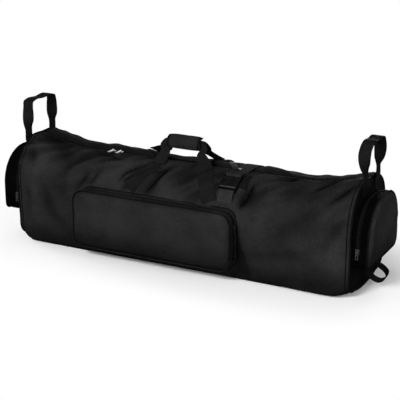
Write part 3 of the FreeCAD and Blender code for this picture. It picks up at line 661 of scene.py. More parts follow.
for end_name, end, column in (("left", -1, 0), ("right", 1, len(across_x) - 1)):
    seam, out = end_line(column)
    face_loop = seam.copy()
    face_loop[:, 0] = end * end_face_x
    middle = np.stack([face_loop[:, 0], np.zeros(seam_count), np.clip(seam[:, 2], 0.150, 0.215)], 1)

    def end_swell(share, row):
        slack = np.array([noise.noise((p[1] * 9, p[2] * 9, 2.5 + end)) for p in row])
        return 0.0016 * slack * min(1, (1 - share) * 5) - 0.0010 * (1 - share)

    wrapped, ways, flip = radial_panel(face_loop, middle, end_swell, np.array([float(end), 0, 0]))
    # Painted shade: the whole end panel is darkened evenly
    shade = np.full(wrapped.shape[:2], 0.72)
    end_cloth = panel(end_name + "_end_cloth", wrapped, ways, cloth, flip, wrapped[:, :, 1:], shade=shade)
    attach(end_cloth, "case")
    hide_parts(end_name + "_end_panel")
    welt = seam + out * 0.0012
    welt[:, 0] = end * (end_face_x + 0.0003)
    outer_piping = tube(end_name + "_end_welt", welt, 0.0031, piping_finish)
    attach(outer_piping, "case")
    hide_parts(end_name + "_end_piping")
    inner_line, inner_out = end_line(column - 3 * end)
    binding = tube(
        end_name + "_end_binding", inner_line + inner_out * 0.0002, 0.0017, piping_finish, sides=6)
    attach(binding, "case")


# Stitching: stout bonded thread in even rows, a few millimetres in from each sewn edge. It is sewn by
# machine through the cloth and the webbing.
thread = clouded("bonded thread", 0.006, 0.017, 0.55, 0.02, 900.0, 1.0)[0]


def stitches(name, lines, length=0.0030, gap=0.0016, radius=0.00042):
    """Separate stitches along lines of (place, way out)."""
    points, faces = [], []
    for places, ways in lines:
        line = np.concatenate([places, ways], axis=1)
        runs = runs_along(line[:, :3])
        for start in np.arange(0, runs[-1] - length, length + gap):
            near, far = (
                np.array([np.interp(s, runs, row) for row in line.T]) for s in (start, start + length))
            a, out, b = near[:3], near[3:], far[:3]
            across = np.cross((b - a) / max(np.linalg.norm(b - a), 1e-9), out)
            middle = (a + b) / 2 + out * radius * 0.5
            first = len(points)
            points += [a, middle + across * radius, middle + out * radius, middle - across * radius,
                       middle - out * radius, b]
            for k in range(4):
                m, n = first + 1 + k, first + 1 + (k + 1) % 4
                faces += [(first, n, m), (first + 5, m, n)]
    return piece(name, points, faces, thread, None, None)


def skin_row(skin, v, low_x, high_x, lift=0.0002, step=0.006):
    """A line along the case at one height on its cloth."""
    found = [on_skin(skin, x, v, lift) for x in np.arange(low_x, high_x, step)]
    return [p for p, _ in found], [w for _, w in found]


# Main zipper: a coil zipper down the middle of the top, its two tapes stitched under the lips of the
# flaps, with the coil's halves side by side.
tape_finish = woven("zipper tape", 0.0012, 0.0050, 0.0007, 0.00015, 0.5)
coil_finish = clouded("moulded coil", 0.003, 0.010, 0.45, 0.01, 300.0, 2.0, low=0.35)[0]
coil_beat = (0.0028, 0.22)
tape_x = 0.552
for side_name, side in (("front", -1), ("rear", 1)):
    for half, end in (("left", -1), ("right", 1)):
        low_x, high_x = sorted((end * tape_x, strap_x))
        stations = np.arange(low_x, high_x + 0.004, 0.005)
        widths = np.array([0.026, 0.018, 0.012, 0.006, 0.0022])
        top = crown_height(stations) - 0.0042
        sag = 0.0006 * np.sin((widths - 0.0022) / 0.0238 * math.pi)
        grid = np.array([[(x, side * w, z - s) for x, z in zip(stations, top)] for w, s in zip(widths, sag)])
        ways = np.broadcast_to(np.array([0.0, 0.0, 1.0]), grid.shape).copy()
        tape = panel(
            side_name + "_zipper_tape_" + half, grid, ways, 0.0009, side > 0, grid[:, :, :2], tape_finish)
        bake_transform(tape)
        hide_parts(side_name + "_zip_tape")
        coil_x = np.arange(low_x, high_x, 0.0007)
        coil_path = np.stack([coil_x, np.full(coil_x.shape, side * 0.0024), crown_height(coil_x) - 0.0040], 1)
        coil = tube(
            side_name + "_coil_" + half, coil_path, 0.00115, coil_finish, closed=False, sides=5,
            beat=coil_beat)
        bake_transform(coil)
        skin = front_skin if side < 0 else rear_skin
        rows = [skin_row(skin, v, max(low_x, -0.528), min(high_x, 0.528)) for v in (0.3960, 0.3915)]
        row = stitches(side_name + "_lip_stitching_" + half, rows)
        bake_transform(row)


# Pockets: one on the front and one on each end. Each is a soft box with a stiffened, padded front, piped
# at both edges and sewn to the case by its back edge. A coil zipper runs up both sides and over the top,
# so the front lets down on its lower edge.
upright = np.array([0.0, 0.0, 1.0])


def spline(values, count):
    """A smooth run through the rows given, in equal steps."""
    rows = np.asarray(values, float)
    gaps = np.linalg.norm(np.diff(rows[:, :3], axis=0), axis=1)
    knots = np.concatenate([[0], np.cumsum(np.maximum(gaps, 1e-6))])
    slopes = np.gradient(rows, knots, axis=0)
    wanted = np.linspace(0, knots[-1], count)
    k = np.clip(np.searchsorted(knots, wanted, side="right") - 1, 0, len(knots) - 2)
    run = (knots[k + 1] - knots[k])[:, None]
    t = (wanted - knots[k])[:, None] / run
    return (
        rows[k] * (1 + 2 * t) * (1 - t) ** 2 + rows[k + 1] * t * t * (3 - 2 * t)
        + slopes[k] * run * t * (1 - t) ** 2 - slopes[k + 1] * run * t * t * (1 - t))


def pocket_edge(size, inset):
    """Outline of a pocket in its own plane, drawn in by inset: the zipped part from the lower left corner
    up and over to the lower right one, and then the bottom, back to the start."""
    half_width, base, top, corner, arch = size
    side, low, high = half_width - inset, base + inset, top - inset
    small, large = corner - inset, arch - inset
    up_count = int(max(4, (top - base - corner - arch) / 0.006))
    arch_count = int(max(6, arch * 1.5 / 0.005))
    top_count = int(max(2, 2 * (half_width - arch) / 0.006))
    arch_turn = np.linspace(0, math.pi / 2, arch_count, endpoint=False)
    left = [(-side, v) for v in np.linspace(low + small, high - large, up_count, endpoint=False)]
    left += [(large - side - large * math.cos(a), high - large + large * math.sin(a)) for a in arch_turn]
    level = [(u, high) for u in np.linspace(large - side, side - large, top_count, endpoint=False)]
    zipped = left + level + [(side - large, high)] + [(-u, v) for u, v in left[::-1]]
    few = int(max(6, corner * 1.5 / 0.004))
    turn = np.linspace(0, math.pi / 2, few, endpoint=False)[1:]
    lower = [(side - small + small * math.cos(a), low + small - small * math.sin(a)) for a in turn]
    flat_count = int(max(4, 2 * (half_width - corner) / 0.008))
    flat = [(u, low) for u in np.linspace(side - small, small - side, flat_count, endpoint=False)]
    bottom = lower + flat + [(small - side, low)] + [(-u, v) for u, v in lower[::-1]]
    return np.array(zipped), np.array(bottom)


def coordinates_of(mesh):
    """The places of a mesh's points."""
    places = np.empty(len(mesh.vertices) * 3)
    mesh.vertices.foreach_get("co", places)
    return places.reshape(-1, 3)


def puffed(cushion, voxel, most, growth, across, along, slip=1.0):
    """Fills a closed cover, as foam does, so that it swells between its seams and creases at them. No
    point moves further than most, and along the cloth it moves only by the share slip."""
    scene = bpy.context.scene
    even = cushion.modifiers.new("even cloth", "REMESH")
    even.mode = "VOXEL"
    even.voxel_size = voxel
    bpy.context.view_layer.objects.active = cushion
    bpy.ops.object.modifier_apply(modifier=even.name)
    mesh = cushion.data
    start = coordinates_of(mesh)
    filling = cushion.modifiers.new("filling", "CLOTH")
    filling.settings.use_pressure = True
    filling.settings.uniform_pressure_force = 4.0
    filling.settings.shrink_min = -growth
    filling.settings.effector_weights.gravity = 0.0
    filling.settings.quality = 6
    filling.settings.bending_stiffness = 0.15
    filling.point_cache.frame_start, filling.point_cache.frame_end = 1, 20
    for step in range(1, 21):
        scene.frame_set(step)
    settled = cushion.evaluated_get(bpy.context.evaluated_depsgraph_get())
    moved = coordinates_of(settled.data) - start
    moved -= np.median(moved, axis=0)
    moved -= (1 - slip) * ((moved @ across)[:, None] * across + (moved @ along)[:, None] * along)
    moved *= np.minimum(1, most / np.maximum(np.linalg.norm(moved, axis=1, keepdims=True), 1e-9))
    cushion.modifiers.remove(filling)
    places = start + moved
    mesh.vertices.foreach_set("co", places.ravel())
    scene.frame_set(1)
    corners = np.empty(len(mesh.loops), dtype=np.int64)
    mesh.loops.foreach_get("vertex_index", corners)
    flat = np.stack([places @ across, places @ along], 1)
    mesh.uv_layers.new(name="cloth").data.foreach_set("uv", flat[corners].astype(np.float32).ravel())
    mesh.polygons.foreach_set("use_smooth", [True] * len(mesh.polygons))
    finer = cushion.modifiers.new("finer cloth", "SUBSURF")
    finer.levels = finer.render_levels = 1


def surface_ways(points, toward):
    """Normals of a grid on the side that faces toward, and whether its faces must be turned for that."""
    ways = unit(np.cross(np.gradient(points, axis=1), np.gradient(points, axis=0)))
    same = np.sum(ways * toward) > 0
    return (ways if same else -ways), not same


# Each pocket's sides are of one cloth and its face of another. On the end pockets the sides are painted near
# black, a painted shade, and the face is painted lighter, a painted light.
pocket_cloths = {
    "front": (woven("front pocket edge cloth", 0.0050, 0.0190, 0.0011, 0.0002, 0.58),
              woven("front pocket face cloth", 0.0066, 0.0200, 0.0011, 0.00025, 0.48)),
    "end": (woven("end pocket edge cloth painted dark for shade", 0.0004, 0.0020, 0.0011, 0.0002, 0.58),
            woven("end pocket face cloth painted light", 0.0110, 0.0350, 0.0011, 0.00025, 0.48)),
}
side_cloth_thick = 0.0022


def make_pocket(name, origin, u_way, w_way, size, depth, strip, crown, seed):
    body = name + "_cover"
    edge_cloth, face_cloth = pocket_cloths["front" if name == "front_pocket" else "end"]
    middle = strip + 0.007
    centre = np.array([0.0, (size[1] + size[2]) / 2])
    zipped, bottom = pocket_edge(size, 0.0)

    def place(flat, w):
        """A place in the case's axes, from one in the pocket's own plane and its way out of the case."""
        flat = np.asarray(flat, float)
        w = np.broadcast_to(np.asarray(w, float), flat.shape[:-1])
        return origin + flat[..., :1] * u_way + flat[..., 1:] * upright + w[..., None] * w_way

    def away_from_centre(edge):
        away = unit(edge - centre)
        return away[:, :1] * u_way + away[:, 1:] * upright

    def band(part, edge, widths, bulge, thickness=side_cloth_thick, material=edge_cloth):
        """A strip of the pocket's side along an edge, between the distances out of the case given."""
        away = away_from_centre(edge)
        rows = []
        for k, w in enumerate(widths):
            slack = np.array([noise.noise((u * 16, v * 16, seed + w * 30)) for u, v in edge])
            out = bulge * math.sin(math.pi * k / (len(widths) - 1)) * (1 + 0.9 * slack)
            rows.append(place(edge, w) + away * out[:, None])
        points = np.array(rows)
        ways, flip = surface_ways(points, away[None])
        uv = np.stack(np.broadcast_arrays(runs_along(edge)[None, :], np.asarray(widths)[:, None]), -1)
        return panel(name + part, points, ways, thickness, flip, uv, material)

    back_strip = band("_back_strip", zipped, np.linspace(0.0004, strip, 6), 0.0010)
    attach(back_strip, "case")
    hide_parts(name + "_gusset")
    closed_bottom = np.concatenate([zipped[-1:], bottom, zipped[:1]])
    under = band("_bottom", closed_bottom, np.linspace(0.0004, depth + 0.0010, 12), 0.0012)
    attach(under, "case")
    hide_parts(name + "_gusset")
    front_strip = band("_front_strip", zipped, np.linspace(middle + 0.007, depth, 6), 0.0014)
    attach(front_strip, body)
    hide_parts(name + "_cover")

    recessed = pocket_edge(size, 0.0028)[0][1:-1]
    for part, low, high, rides, node, coil_w in (
            ("_back_tape", strip - 0.004, middle - 0.0014, "case", "_zip_base", middle - 0.0017),
            ("_front_tape", middle + 0.0014, middle + 0.011, body, "_zip_face", middle + 0.0017)):
        tape = band(part, recessed, np.linspace(low, high, 4), 0.0002, 0.0008, tape_finish)
        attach(tape, rides)
        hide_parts(name + node)
        coil = tube(
            name + part + "_coil", spline(place(recessed, coil_w), len(recessed) * 7), 0.0011, coil_finish,
            closed=False, sides=5, beat=coil_beat)
        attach(coil, rides)

    around = np.concatenate(pocket_edge(size, -0.0013))
    for part, w, radius, rides, node in (
            ("_back_piping", 0.0022, 0.0018, "case", "_base_piping"),
            ("_front_piping", depth + 0.0012, 0.0020, body, "_cover_piping")):
        piping = tube(name + part, softened_line(place(around, w), 1), radius, piping_finish)
        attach(piping, rides)
        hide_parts(name + node)

    # The padded front, fullest in the middle and gathered along its seam
    loop = np.concatenate(pocket_edge(size, 0.0006))
    reach = size[0] - min(size[0], (size[2] - size[1]) / 2) * 0.92
    spine = np.stack([np.clip(loop[:, 0], -reach, reach), np.full(len(loop), centre[1])], 1)
    gather = np.array([
        noise.noise((r * 55, seed, 0.5)) + 0.5 * noise.noise((r * 130, seed, 4.5)) for r in runs_along(loop)])
    shares = np.concatenate([np.linspace(1, 0.86, 7), np.linspace(0.86, 0, 16)[1:]])

    def fullness(share):
        return crown * (1 - share ** 3.2) ** 0.75

    rows = [place(spine + (loop - spine) * share, depth - 0.0040) for share in shares[::-3]]
    for share in shares:
        row = spine + (loop - spine) * share
        soft = np.array([noise.noise((u * 8 + seed, v * 11, 6.5)) for u, v in row])
        creased = gather * 0.0012 * math.exp(-((share - 0.94) / 0.05) ** 2)
        rows.append(place(row, depth + 0.0006 + fullness(share) + creased + 0.0022 * soft * (1 - share ** 6)))
    rows = np.array(rows)
    faces = ring_faces(*rows.shape[:2], capped=False)
    if np.cross(rows[-2, 1] - rows[-2, 0], rows[-1, 0] - rows[-2, 0]) @ w_way < 0:
        faces = [face[::-1] for face in faces]
    flat = rows.reshape(-1, 3)
    cushion = piece(name + "_padded_front", flat, faces, face_cloth, np.stack([flat @ u_way, flat[:, 2]], 1))
    puffed(cushion, 0.0045, 0.006, 0.02, u_way, upright, slip=0.06)
    # Painted shade: the padded front darkens towards its bottom
    painted_low_shade = 0.66 * smooth((size[1] + 0.100 - coordinates_of(cushion.data)[:, 2]) / 0.100)
    cushion.data.attributes.new("painted_shade", "FLOAT", "POINT").data.foreach_set("value", painted_low_shade)
    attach(cushion, body)
    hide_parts(name + "_cover")

    share = 0.965
    row = place(spine + (loop - spine) * share, depth + 0.0014 + fullness(share))
    away = away_from_centre(zipped)
    strip_row = place(zipped, middle + 0.0095) + away * 0.0006
    seam = stitches(name + "_cover_stitching", [
        (row, np.broadcast_to(w_way, row.shape)), (strip_row[1:-1], away[1:-1])])
    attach(seam, body)
    edge_row = stitches(name + "_case_stitching", [(place(zipped, strip - 0.0025) + away * 0.0006, away)])
    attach(edge_row, "case")


pocket_spots = (
    ("front_pocket", (-0.054, -0.155, 0), (1, 0, 0), (0, -1, 0), (0.276, 0.040, 0.226, 0.035, 0.035),
     0.055, 0.016, 0.0085, 1.3),
    ("right_pocket", (0.584, 0, 0), (0, 1, 0), (1, 0, 0), (0.135, 0.095, 0.292, 0.020, 0.110),
     0.045, 0.009, 0.0075, 5.9),
    ("left_pocket", (-0.584, 0, 0), (0, -1, 0), (-1, 0, 0), (0.135, 0.095, 0.292, 0.020, 0.110),
     0.062, 0.009, 0.0075, 9.1),
)
for name, origin, u_way, w_way, *rest in pocket_spots:
    make_pocket(name, *(np.array(value, float) for value in (origin, u_way, w_way)), *rest)


# Zipper sliders and pulls: die-cast metal, bright plated on the main zipper and much darker on the pockets.
# Each pull is a forked tab that hangs from the slider's bail.
def cast_finish(name, dull, bright, roughness):
    made, nodes, links, shader = clouded(
        name, dull, bright, roughness, 0.5, 420.0, 3.0, high=0.62, vary=(0.25, roughness - 0.12), blue=1.02)
    shader.inputs["Metallic"].default_value = 1.0
    return made


plated = cast_finish("bright plating", 0.42, 0.74, 0.26)
dark_cast = cast_finish("dark cast metal", 0.012, 0.050, 0.48)
for name in ("left", "right", "front_pocket", "right_pocket", "left_pocket"):
    for part in ("_slider", "_pull"):
        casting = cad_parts[name + part]
        casting.data.materials.clear()
        casting.data.materials.append(dark_cast if name.endswith("pocket") else plated)
        eased = casting.modifiers.new("eased edges", "BEVEL")
        eased.width = 0.0005
        eased.segments = 3
        eased.limit_method = "ANGLE"


# Webbing: heavy ribbed nylon tape, 2.4 mm thick, used for the handles, the strap and the loops. Cut
# ends are sealed and turned under.
webbing_thick = 0.0024
webbing_finish, loop_finish, strap_finish = (
    woven(name, dark, light, 0.0021, 0.00032, roughness, cross_only=True)
    for name, dark, light, roughness in (
        ("ribbed webbing", 0.0024, 0.0112, 0.45), ("ribbed loop webbing", 0.0024, 0.0115, 0.50),
        ("ribbed strap webbing", 0.0068, 0.0290, 0.45)))


def ribbon(name, stations, thickness=webbing_thick, material=webbing_finish, count=60):
    """Webbing through stations of (middle, half of its width, way out), resampled to a smooth run."""
    rows = spline([np.concatenate(station) for station in stations], count)
    middles, halves, outs = rows[:, :3], rows[:, 3:6], rows[:, 6:]
    ahead = unit(np.gradient(middles, axis=0))
    widths = np.linalg.norm(halves, axis=1, keepdims=True)
    halves = unit(halves - ahead * np.sum(halves * ahead, axis=1, keepdims=True)) * widths
    through = unit(np.cross(ahead, halves))
    if through[0] @ outs[0] < 0:
        through = -through
    sides = 26
    points, uv = [], []
    for middle, half, way, width, run in zip(middles, halves, through, widths[:, 0], runs_along(middles)):
        for a in 2 * math.pi * np.arange(sides) / sides:
            across = math.copysign(abs(math.cos(a)) ** 0.35, math.cos(a))
            deep = math.copysign(abs(math.sin(a)) ** 0.5, math.sin(a)) * (1 + 0.10 * abs(across) ** 8)
            points.append(middle + half * across + way * deep * thickness / 2)
            uv.append((across * width, run))
    faces = ring_faces(count, sides)
    first = np.cross(points[1] - points[0], points[sides] - points[0])
    if first @ (points[0] - middles[0]) < 0:
        faces = [face[::-1] for face in faces]
    return piece(name, points, faces, material, uv, None)


def rows_beside(path, count):
    """Even rows along a path of (x, height along the cloth), and what gives a place off beside a row."""
    line = spline([(x, v, 0) for x, v in path], count)[:, :2]
    run = unit(np.gradient(line, axis=0))
    return line, lambda k, off: (line[k][0] + run[k][1] * off, line[k][1] - run[k][0] * off)


def laid_strip(name, skin, path, half_width, thickness, rows=40):
    """Webbing that lies on the case along a path, and follows its folds."""
    line, beside = rows_beside(path, rows)
    shares = np.linspace(-1, 1, 11)
    lifts = 0.0003 + thickness * (1 - 0.45 * np.abs(shares) ** 12)
    found = np.array([
        [on_skin(skin, *beside(k, s * half_width), lift) for s, lift in zip(shares, lifts)]
        for k in range(rows)])
    grid, ways = found[:, :, 0], found[:, :, 1]
    turned = np.sum(np.cross(np.gradient(grid, axis=1), np.gradient(grid, axis=0)) * ways) < 0
    uv = np.stack(np.broadcast_arrays(shares * half_width, runs_along(line)[:, None]), -1)
    return panel(name, grid, ways, thickness * 0.95, turned, uv, webbing_finish)


def box_stitch(skin, path, half_width, low, high, lift):
    """Stitched box with a cross, between two shares of the length of webbing laid along a path."""
    beside = rows_beside(path, 41)[1]

    def sewn(a, b):
        found = []
        for t in np.linspace(0, 1, 12):
            share, s = (start + (stop - start) * t for start, stop in zip(a, b))
            found.append(on_skin(skin, *beside(min(int(share * 40), 40), s * half_width), lift))
        return tuple(np.array(found).transpose(1, 0, 2))

    side = 0.84
    corners = [(low, -side), (low, side), (high, side), (high, -side), (low, -side), (high, side)]
    return [sewn(a, b) for a, b in zip(corners, corners[1:])] + [sewn((low, side), (high, -side))]


# Carry handles: one long piece of webbing each, laid on the flap and sewn down, then free from the crown
# up to the grip, where it is folded to half its width.
handle_y, pivot_z, pivot_v, foot_v = 0.065, 0.3073, 0.3490, 0.2405
grip_x, grip_z, grip_half = -0.034, 0.368, 0.0585
for side_name, side, skin, legs in (
        ("front", -1, front_skin, (("left", -1, -0.098, -0.062), ("right", 1, 0.070, 0.058))),
        ("rear", 1, rear_skin, (("left", -1, -0.178, -0.062), ("right", 1, 0.056, 0.058)))):
    rows = []
    bar_y = side * 0.005
    for hand, end, base_x, splay in legs:
        path = [(base_x + splay * share, v) for share, v in (
            (1, foot_v), (0.5, 0.297), (0.06, pivot_v - 0.0015))]
        tab = laid_strip(side_name + "_" + hand + "_sewn_leg", skin, path, 0.025, webbing_thick)
        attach(tab, side_name + "_flap")
        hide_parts(side_name + "_handle_tabs")
        rows += box_stitch(skin, path, 0.025, 0.05, 0.42, 0.0028)

        exit_x = grip_x + end * grip_half
        leg = ribbon(side_name + "_" + hand + "_leg", [
            ((base_x, side * handle_y, pivot_z), (0.0245, 0, 0), (0, side * 0.64, 0.77)),
            ((base_x + (exit_x - base_x) * 0.40, side * 0.044, 0.3235),
             (0.0205, 0, 0), (0, side * 0.64, 0.77)),
            ((base_x + (exit_x - base_x) * 0.80, side * 0.0235, 0.3420),
             (0.0150, 0, end * 0.003), (0, side * 0.70, 0.70)),
            ((exit_x + end * 0.0125, side * 0.0115, 0.3570),
             (0.0100, side * -0.002, end * 0.0060), (0, side * 0.9, 0.4)),
            ((exit_x + end * 0.0050, bar_y + side * 0.001, 0.3655),
             (0.0055, 0, end * 0.0105), (0, side, 0.1)),
            ((exit_x - end * 0.0080, bar_y, grip_z), (0, 0, end * 0.0112), (0, side, 0)),
            ((grip_x + end * 0.0200, bar_y, grip_z), (0, 0, end * 0.0112), (0, side, 0))], 0.0026, count=56)
        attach(leg, side_name + "_handle")
        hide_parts(side_name + "_handle")
    sewn = stitches(side_name + "_leg_stitching", rows)
    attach(sewn, side_name + "_flap")


# Grip: a padded wrap of brushed cloth, sewn to the front handle and closed round both. Its ends are
# bound, and its flap lies over the front.
grip_finish = woven("brushed grip cloth", 0.0060, 0.0190, 0.0016, 0.0007, 0.7, 0.01)
wrap_line = spline([
    (0.0150, 0.0150, 0), (0.0060, 0.0172, 0), (-0.0060, 0.0160, 0), (-0.0150, 0.0095, 0),
    (-0.0182, -0.0010, 0), (-0.0155, -0.0110, 0), (-0.0070, -0.0160, 0), (0.0030, -0.0166, 0),
    (0.0095, -0.0155, 0)], 30)[:, :2]
wrap_turn = unit(np.gradient(wrap_line, axis=0))
wrap_out = np.stack([-wrap_turn[:, 1], wrap_turn[:, 0]], 1)
if np.sum(wrap_out * wrap_line) < 0:
    wrap_out = -wrap_out
wrap_half = 0.0030 + 0.0012 * np.sin(np.linspace(0, math.pi, 30))
section = np.concatenate([
    wrap_line + wrap_out * wrap_half[:, None], (wrap_line - wrap_out * wrap_half[:, None])[::-1]])
stretch = np.linspace(-1, 1, 31)
grip_points = []
for s in stretch:
    close = 1 - 0.13 * abs(s) ** 7
    for y, z in section:
        sag = 0.0010 * noise.noise((s * 4, y * 90, z * 90))
        drawn_in = 0.0035 * (max(z, 0) / 0.018)
        grip_points.append((grip_x + s * (grip_half - drawn_in), y * close + sag, grip_z + z * close))
ring = len(section)
grip_faces = ring_faces(len(stretch), ring, capped=False)
for k in (0, len(stretch) - 1):
    for s in range(ring // 2 - 1):
        face = (k * ring + s, k * ring + s + 1, k * ring + ring - 2 - s, k * ring + ring - 1 - s)
        grip_faces.append(face if k == 0 else face[::-1])
grip_uv = [(p[0], (k % ring) * 0.0022) for k, p in enumerate(grip_points)]
grip = piece("grip_wrap", grip_points, grip_faces, grip_finish, grip_uv, None)
puffed(grip, 0.0022, 0.0025, 0.015, np.array([1.0, 0, 0]), np.array([0, 0.5, 1.0]))
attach(grip, "front_handle")
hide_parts("grip_pad")
binding_rows = []
for end in (-1, 1):
    line, out = wrap_line[2:-1], np.pad(wrap_out[2:-1], ((0, 0), (1, 0)))
    line = np.pad(line, ((0, 0), (1, 0))) + out * (wrap_half[2:-1, None] + 0.0004)
    bound = [(line_at * 0.955 + (grip_x + end * 0.0540, 0, grip_z), (0.0040, 0, 0), way)
             for line_at, way in zip(line, out)]
    tape = ribbon(
        "grip_binding_" + ("right" if end > 0 else "left"), bound, 0.0016, piping_finish)
    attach(tape, "front_handle")
    binding_rows.append((line * 0.985 + (grip_x + end * 0.0492, 0, grip_z) + out * 0.0006, out))
front_out = np.array([0, *wrap_out[22]])
front_at = np.array([0, *wrap_line[22]]) + front_out * (wrap_half[22] + 0.0008) + (grip_x, 0, grip_z)
front_run = front_at + np.linspace(-0.047, 0.047, 24)[:, None] * (1, 0, 0)
binding_rows.append((front_run, np.broadcast_to(front_out, front_run.shape)))
grip_stitching = stitches("grip_stitching", binding_rows)
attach(grip_stitching, "front_handle")


# Loops: a tall loop of 38 mm webbing stands on each end, sewn flat to the end panel below and given a
# quarter turn above, and a short loop of 20 mm webbing hangs low on the right end.
for name, end, span in (("left", -1, 0.140), ("right", 1, 0.112)):
    x = end * 0.5885
    half = span / 2
    foot, flat, top = 0.3483, 0.363, 0.459
    wide, bow = 0.019, 0.006
    stations = [
        ((x, -half, foot), (0, wide, 0), (1, 0, 0)),
        ((x, -half, flat), (0, wide, 0), (1, 0, 0)),
        ((x - end * 0.003, -half - bow * 0.7, 0.390), (0.011, 0.0145, 0), (0.8, -0.6, 0)),
        ((x - end * 0.005, -half - bow, 0.415), (0.0175, 0.0060, 0), (0.3, -0.95, 0)),
        ((x - end * 0.003, -half - bow * 0.3, 0.440), (wide, 0, 0), (0, -1, 0.1)),
        ((x, -half + 0.0055, top - 0.0050), (wide, 0, 0), (0, -0.7, 0.7)),
        ((x, -half + 0.018, top - 0.0005), (wide, 0, 0), (0, 0, 1)),
        ((x, 0, top - 0.0018), (wide, 0, 0), (0, 0, 1)),
        ((x, half - 0.018, top - 0.0005), (wide, 0, 0), (0, 0, 1)),
        ((x, half - 0.0055, top - 0.0050), (wide, 0, 0), (0, 0.7, 0.7)),
        ((x + end * 0.001, half + bow * 0.3, 0.440), (wide, 0, 0), (0, 1, 0.1)),
        ((x + end * 0.002, half + bow * 0.6, 0.412), (0.0175, 0.0060, 0), (-0.3, 0.95, 0)),
        ((x + end * 0.001, half + bow * 0.4, 0.386), (0.011, 0.0145, 0), (-0.8, 0.6, 0)),
        ((x, half, flat), (0, wide, 0), (-1, 0, 0)),
        ((x, half, foot), (0, wide, 0), (-1, 0, 0)),
    ]
    loop = ribbon(name + "_webbing_loop", stations, material=loop_finish, count=130)
    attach(loop, name + "_loop")
    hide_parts(name + "_end_loop")
    rows = []
    for y in (-half, half):
        sewn_end = ribbon(name + "_loop_end_" + ("front" if y < 0 else "rear"), [
            ((end * 0.58555, y, 0.2975), (0, wide, 0), (end, 0, 0)),
            ((end * 0.58555, y, 0.3130), (0, wide, 0), (end, 0, 0)),
            ((end * 0.58640, y, 0.3210), (0, wide, 0), (end, 0, 0)),
            ((end * 0.58850, y, 0.3290), (0, wide, 0), (end, 0, 0)),
            ((end * 0.58850, y, 0.3480), (0, wide, 0), (end, 0, 0))], count=30)
        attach(sewn_end, "case")
        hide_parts(name + "_loop_tabs")
        spots = [(-0.016, 0.2990), (0.016, 0.2990), (0.016, 0.3110), (-0.016, 0.3110), (-0.016, 0.2990),
                 (0.016, 0.3110)]
        for (a, low), (b, high) in list(zip(spots, spots[1:])) + [((0.016, 0.2990), (-0.016, 0.3110))]:
            rows.append((
                [(end * 0.5869, y + a, low), (end * 0.5869, y + b, high)], [(end, 0, 0), (end, 0, 0)]))
    sewn = stitches(name + "_loop_stitching", rows)
    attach(sewn, "case")

droop = math.radians(30)
out = np.array([math.cos(droop), 0, -math.sin(droop)])
wide = np.array([math.sin(droop), 0, math.cos(droop)]) * 0.010
root = np.array([0.5882, 0.025, 0.048])
grab_half = 0.046
across = np.array([0, 1.0, 0])


def grab_side(end):
    """Stations from the front foot, where end is -1, or the rear one, out to the middle of the loop."""
    foot = root + across * end * grab_half
    return [(foot + out * reach - across * end * inward, wide * width, across * end * level + out * front)
            for reach, inward, width, level, front in (
                (0, 0, 0.3, 1, 0), (0.010, 0, 0.75, 1, 0), (0.022, 0, 1, 1, 0), (0.036, 0.001, 1, 1, 0),
                (0.049, 0.008, 1, 1, 1), (0.0555, 0.024, 1, 0, 1))]


grab = ribbon("grab_webbing", grab_side(-1) + grab_side(1)[::-1], count=90)
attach(grab, "grab_loop")
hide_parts("grab_loop")
rows = []
for y in (root[1] - grab_half, root[1] + grab_half):
    tab = ribbon("grab_loop_end_" + ("front" if y < 0 else "rear"), [
        ((0.58555, y, 0.0355), (0, 0.010, 0), (1, 0, 0)),
        ((0.58555, y, 0.0480), (0, 0.010, 0), (1, 0, 0)),
        ((0.58555, y, 0.0605), (0, 0.010, 0), (1, 0, 0))], count=14)
    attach(tab, "case")
    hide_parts("grab_loop_tabs")
    for z in (0.0375, 0.0585):
        rows.append(([(0.5869, y - 0.008, z), (0.5869, y + 0.008, z)], [(1, 0, 0), (1, 0, 0)]))
sewn = stitches("grab_loop_stitching", rows)
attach(sewn, "case")


# Closing strap: 50 mm webbing sewn low on the rear, brought up over the zipper and turned round the bar
# of a side-release buckle. The buckle's other half is on a short strap sewn above the front pocket.
buckle_tilt = math.radians(32.93)
half_strap = 0.025
buckle_middle = np.array([strap_x, -0.10769, 0.29492])
east, along, off = (
    np.array([1.0, 0, 0]), np.array([0, math.cos(buckle_tilt), math.sin(buckle_tilt)]),
    np.array([0, -math.sin(buckle_tilt), math.cos(buckle_tilt)]))


def on_buckle(a, b, c):
    """A place from the buckle's middle: a across, b up the strap and c off the case."""
    return buckle_middle + east * a + along * b + off * c


def over_case(skin, v, lift):
    """A strap station that lies on the case."""
    place, out = on_skin(skin, strap_x, v, lift)
    return (place * (0, 1, 1) + (strap_x, 0, 0), (half_strap, 0, 0), out)


def by_buckle(b, c):
    """A strap station at the buckle."""
    return (on_buckle(0, b, c), (half_strap, 0, 0), off)


anchor = laid_strip(
    "strap_anchor_patch", rear_skin, [(strap_x, 0.0292), (strap_x, 0.0390), (strap_x, 0.0484)], 0.028, 0.0033)
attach(anchor, "case")
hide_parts("strap_anchor")
anchor_rows = box_stitch(
    rear_skin, [(strap_x, 0.0300), (strap_x, 0.0390), (strap_x, 0.0478)], 0.027, 0.08, 0.92, 0.0037)
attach(stitches("anchor_stitching", anchor_rows), "case")

rise = [over_case(rear_skin, v, 0.0026) for v in (
    0.0515, 0.08, 0.12, 0.16, 0.20, 0.23, 0.26, 0.29, 0.32, 0.35, 0.375)]
crossing = [((strap_x, y, 0.3098), (half_strap, 0, 0), (0, 0, 1)) for y in (0.020, 0.006, -0.006, -0.020)]
descent = [over_case(front_skin, v, 0.0026) for v in (0.375, 0.355, 0.340, 0.327)]
turn = [by_buckle(b, c) for b, c in (
    (0.0420, -0.0074), (0.0330, -0.0049), (0.0275, -0.0035), (0.0243, 0), (0.0275, 0.0035), (0.0330, 0.0022),
    (0.0420, -0.0040), (0.0500, -0.0074))]
strap = ribbon("strap_webbing", rise + crossing + descent + turn, material=strap_finish, count=230)
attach(strap, "strap")
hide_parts("upper_strap")
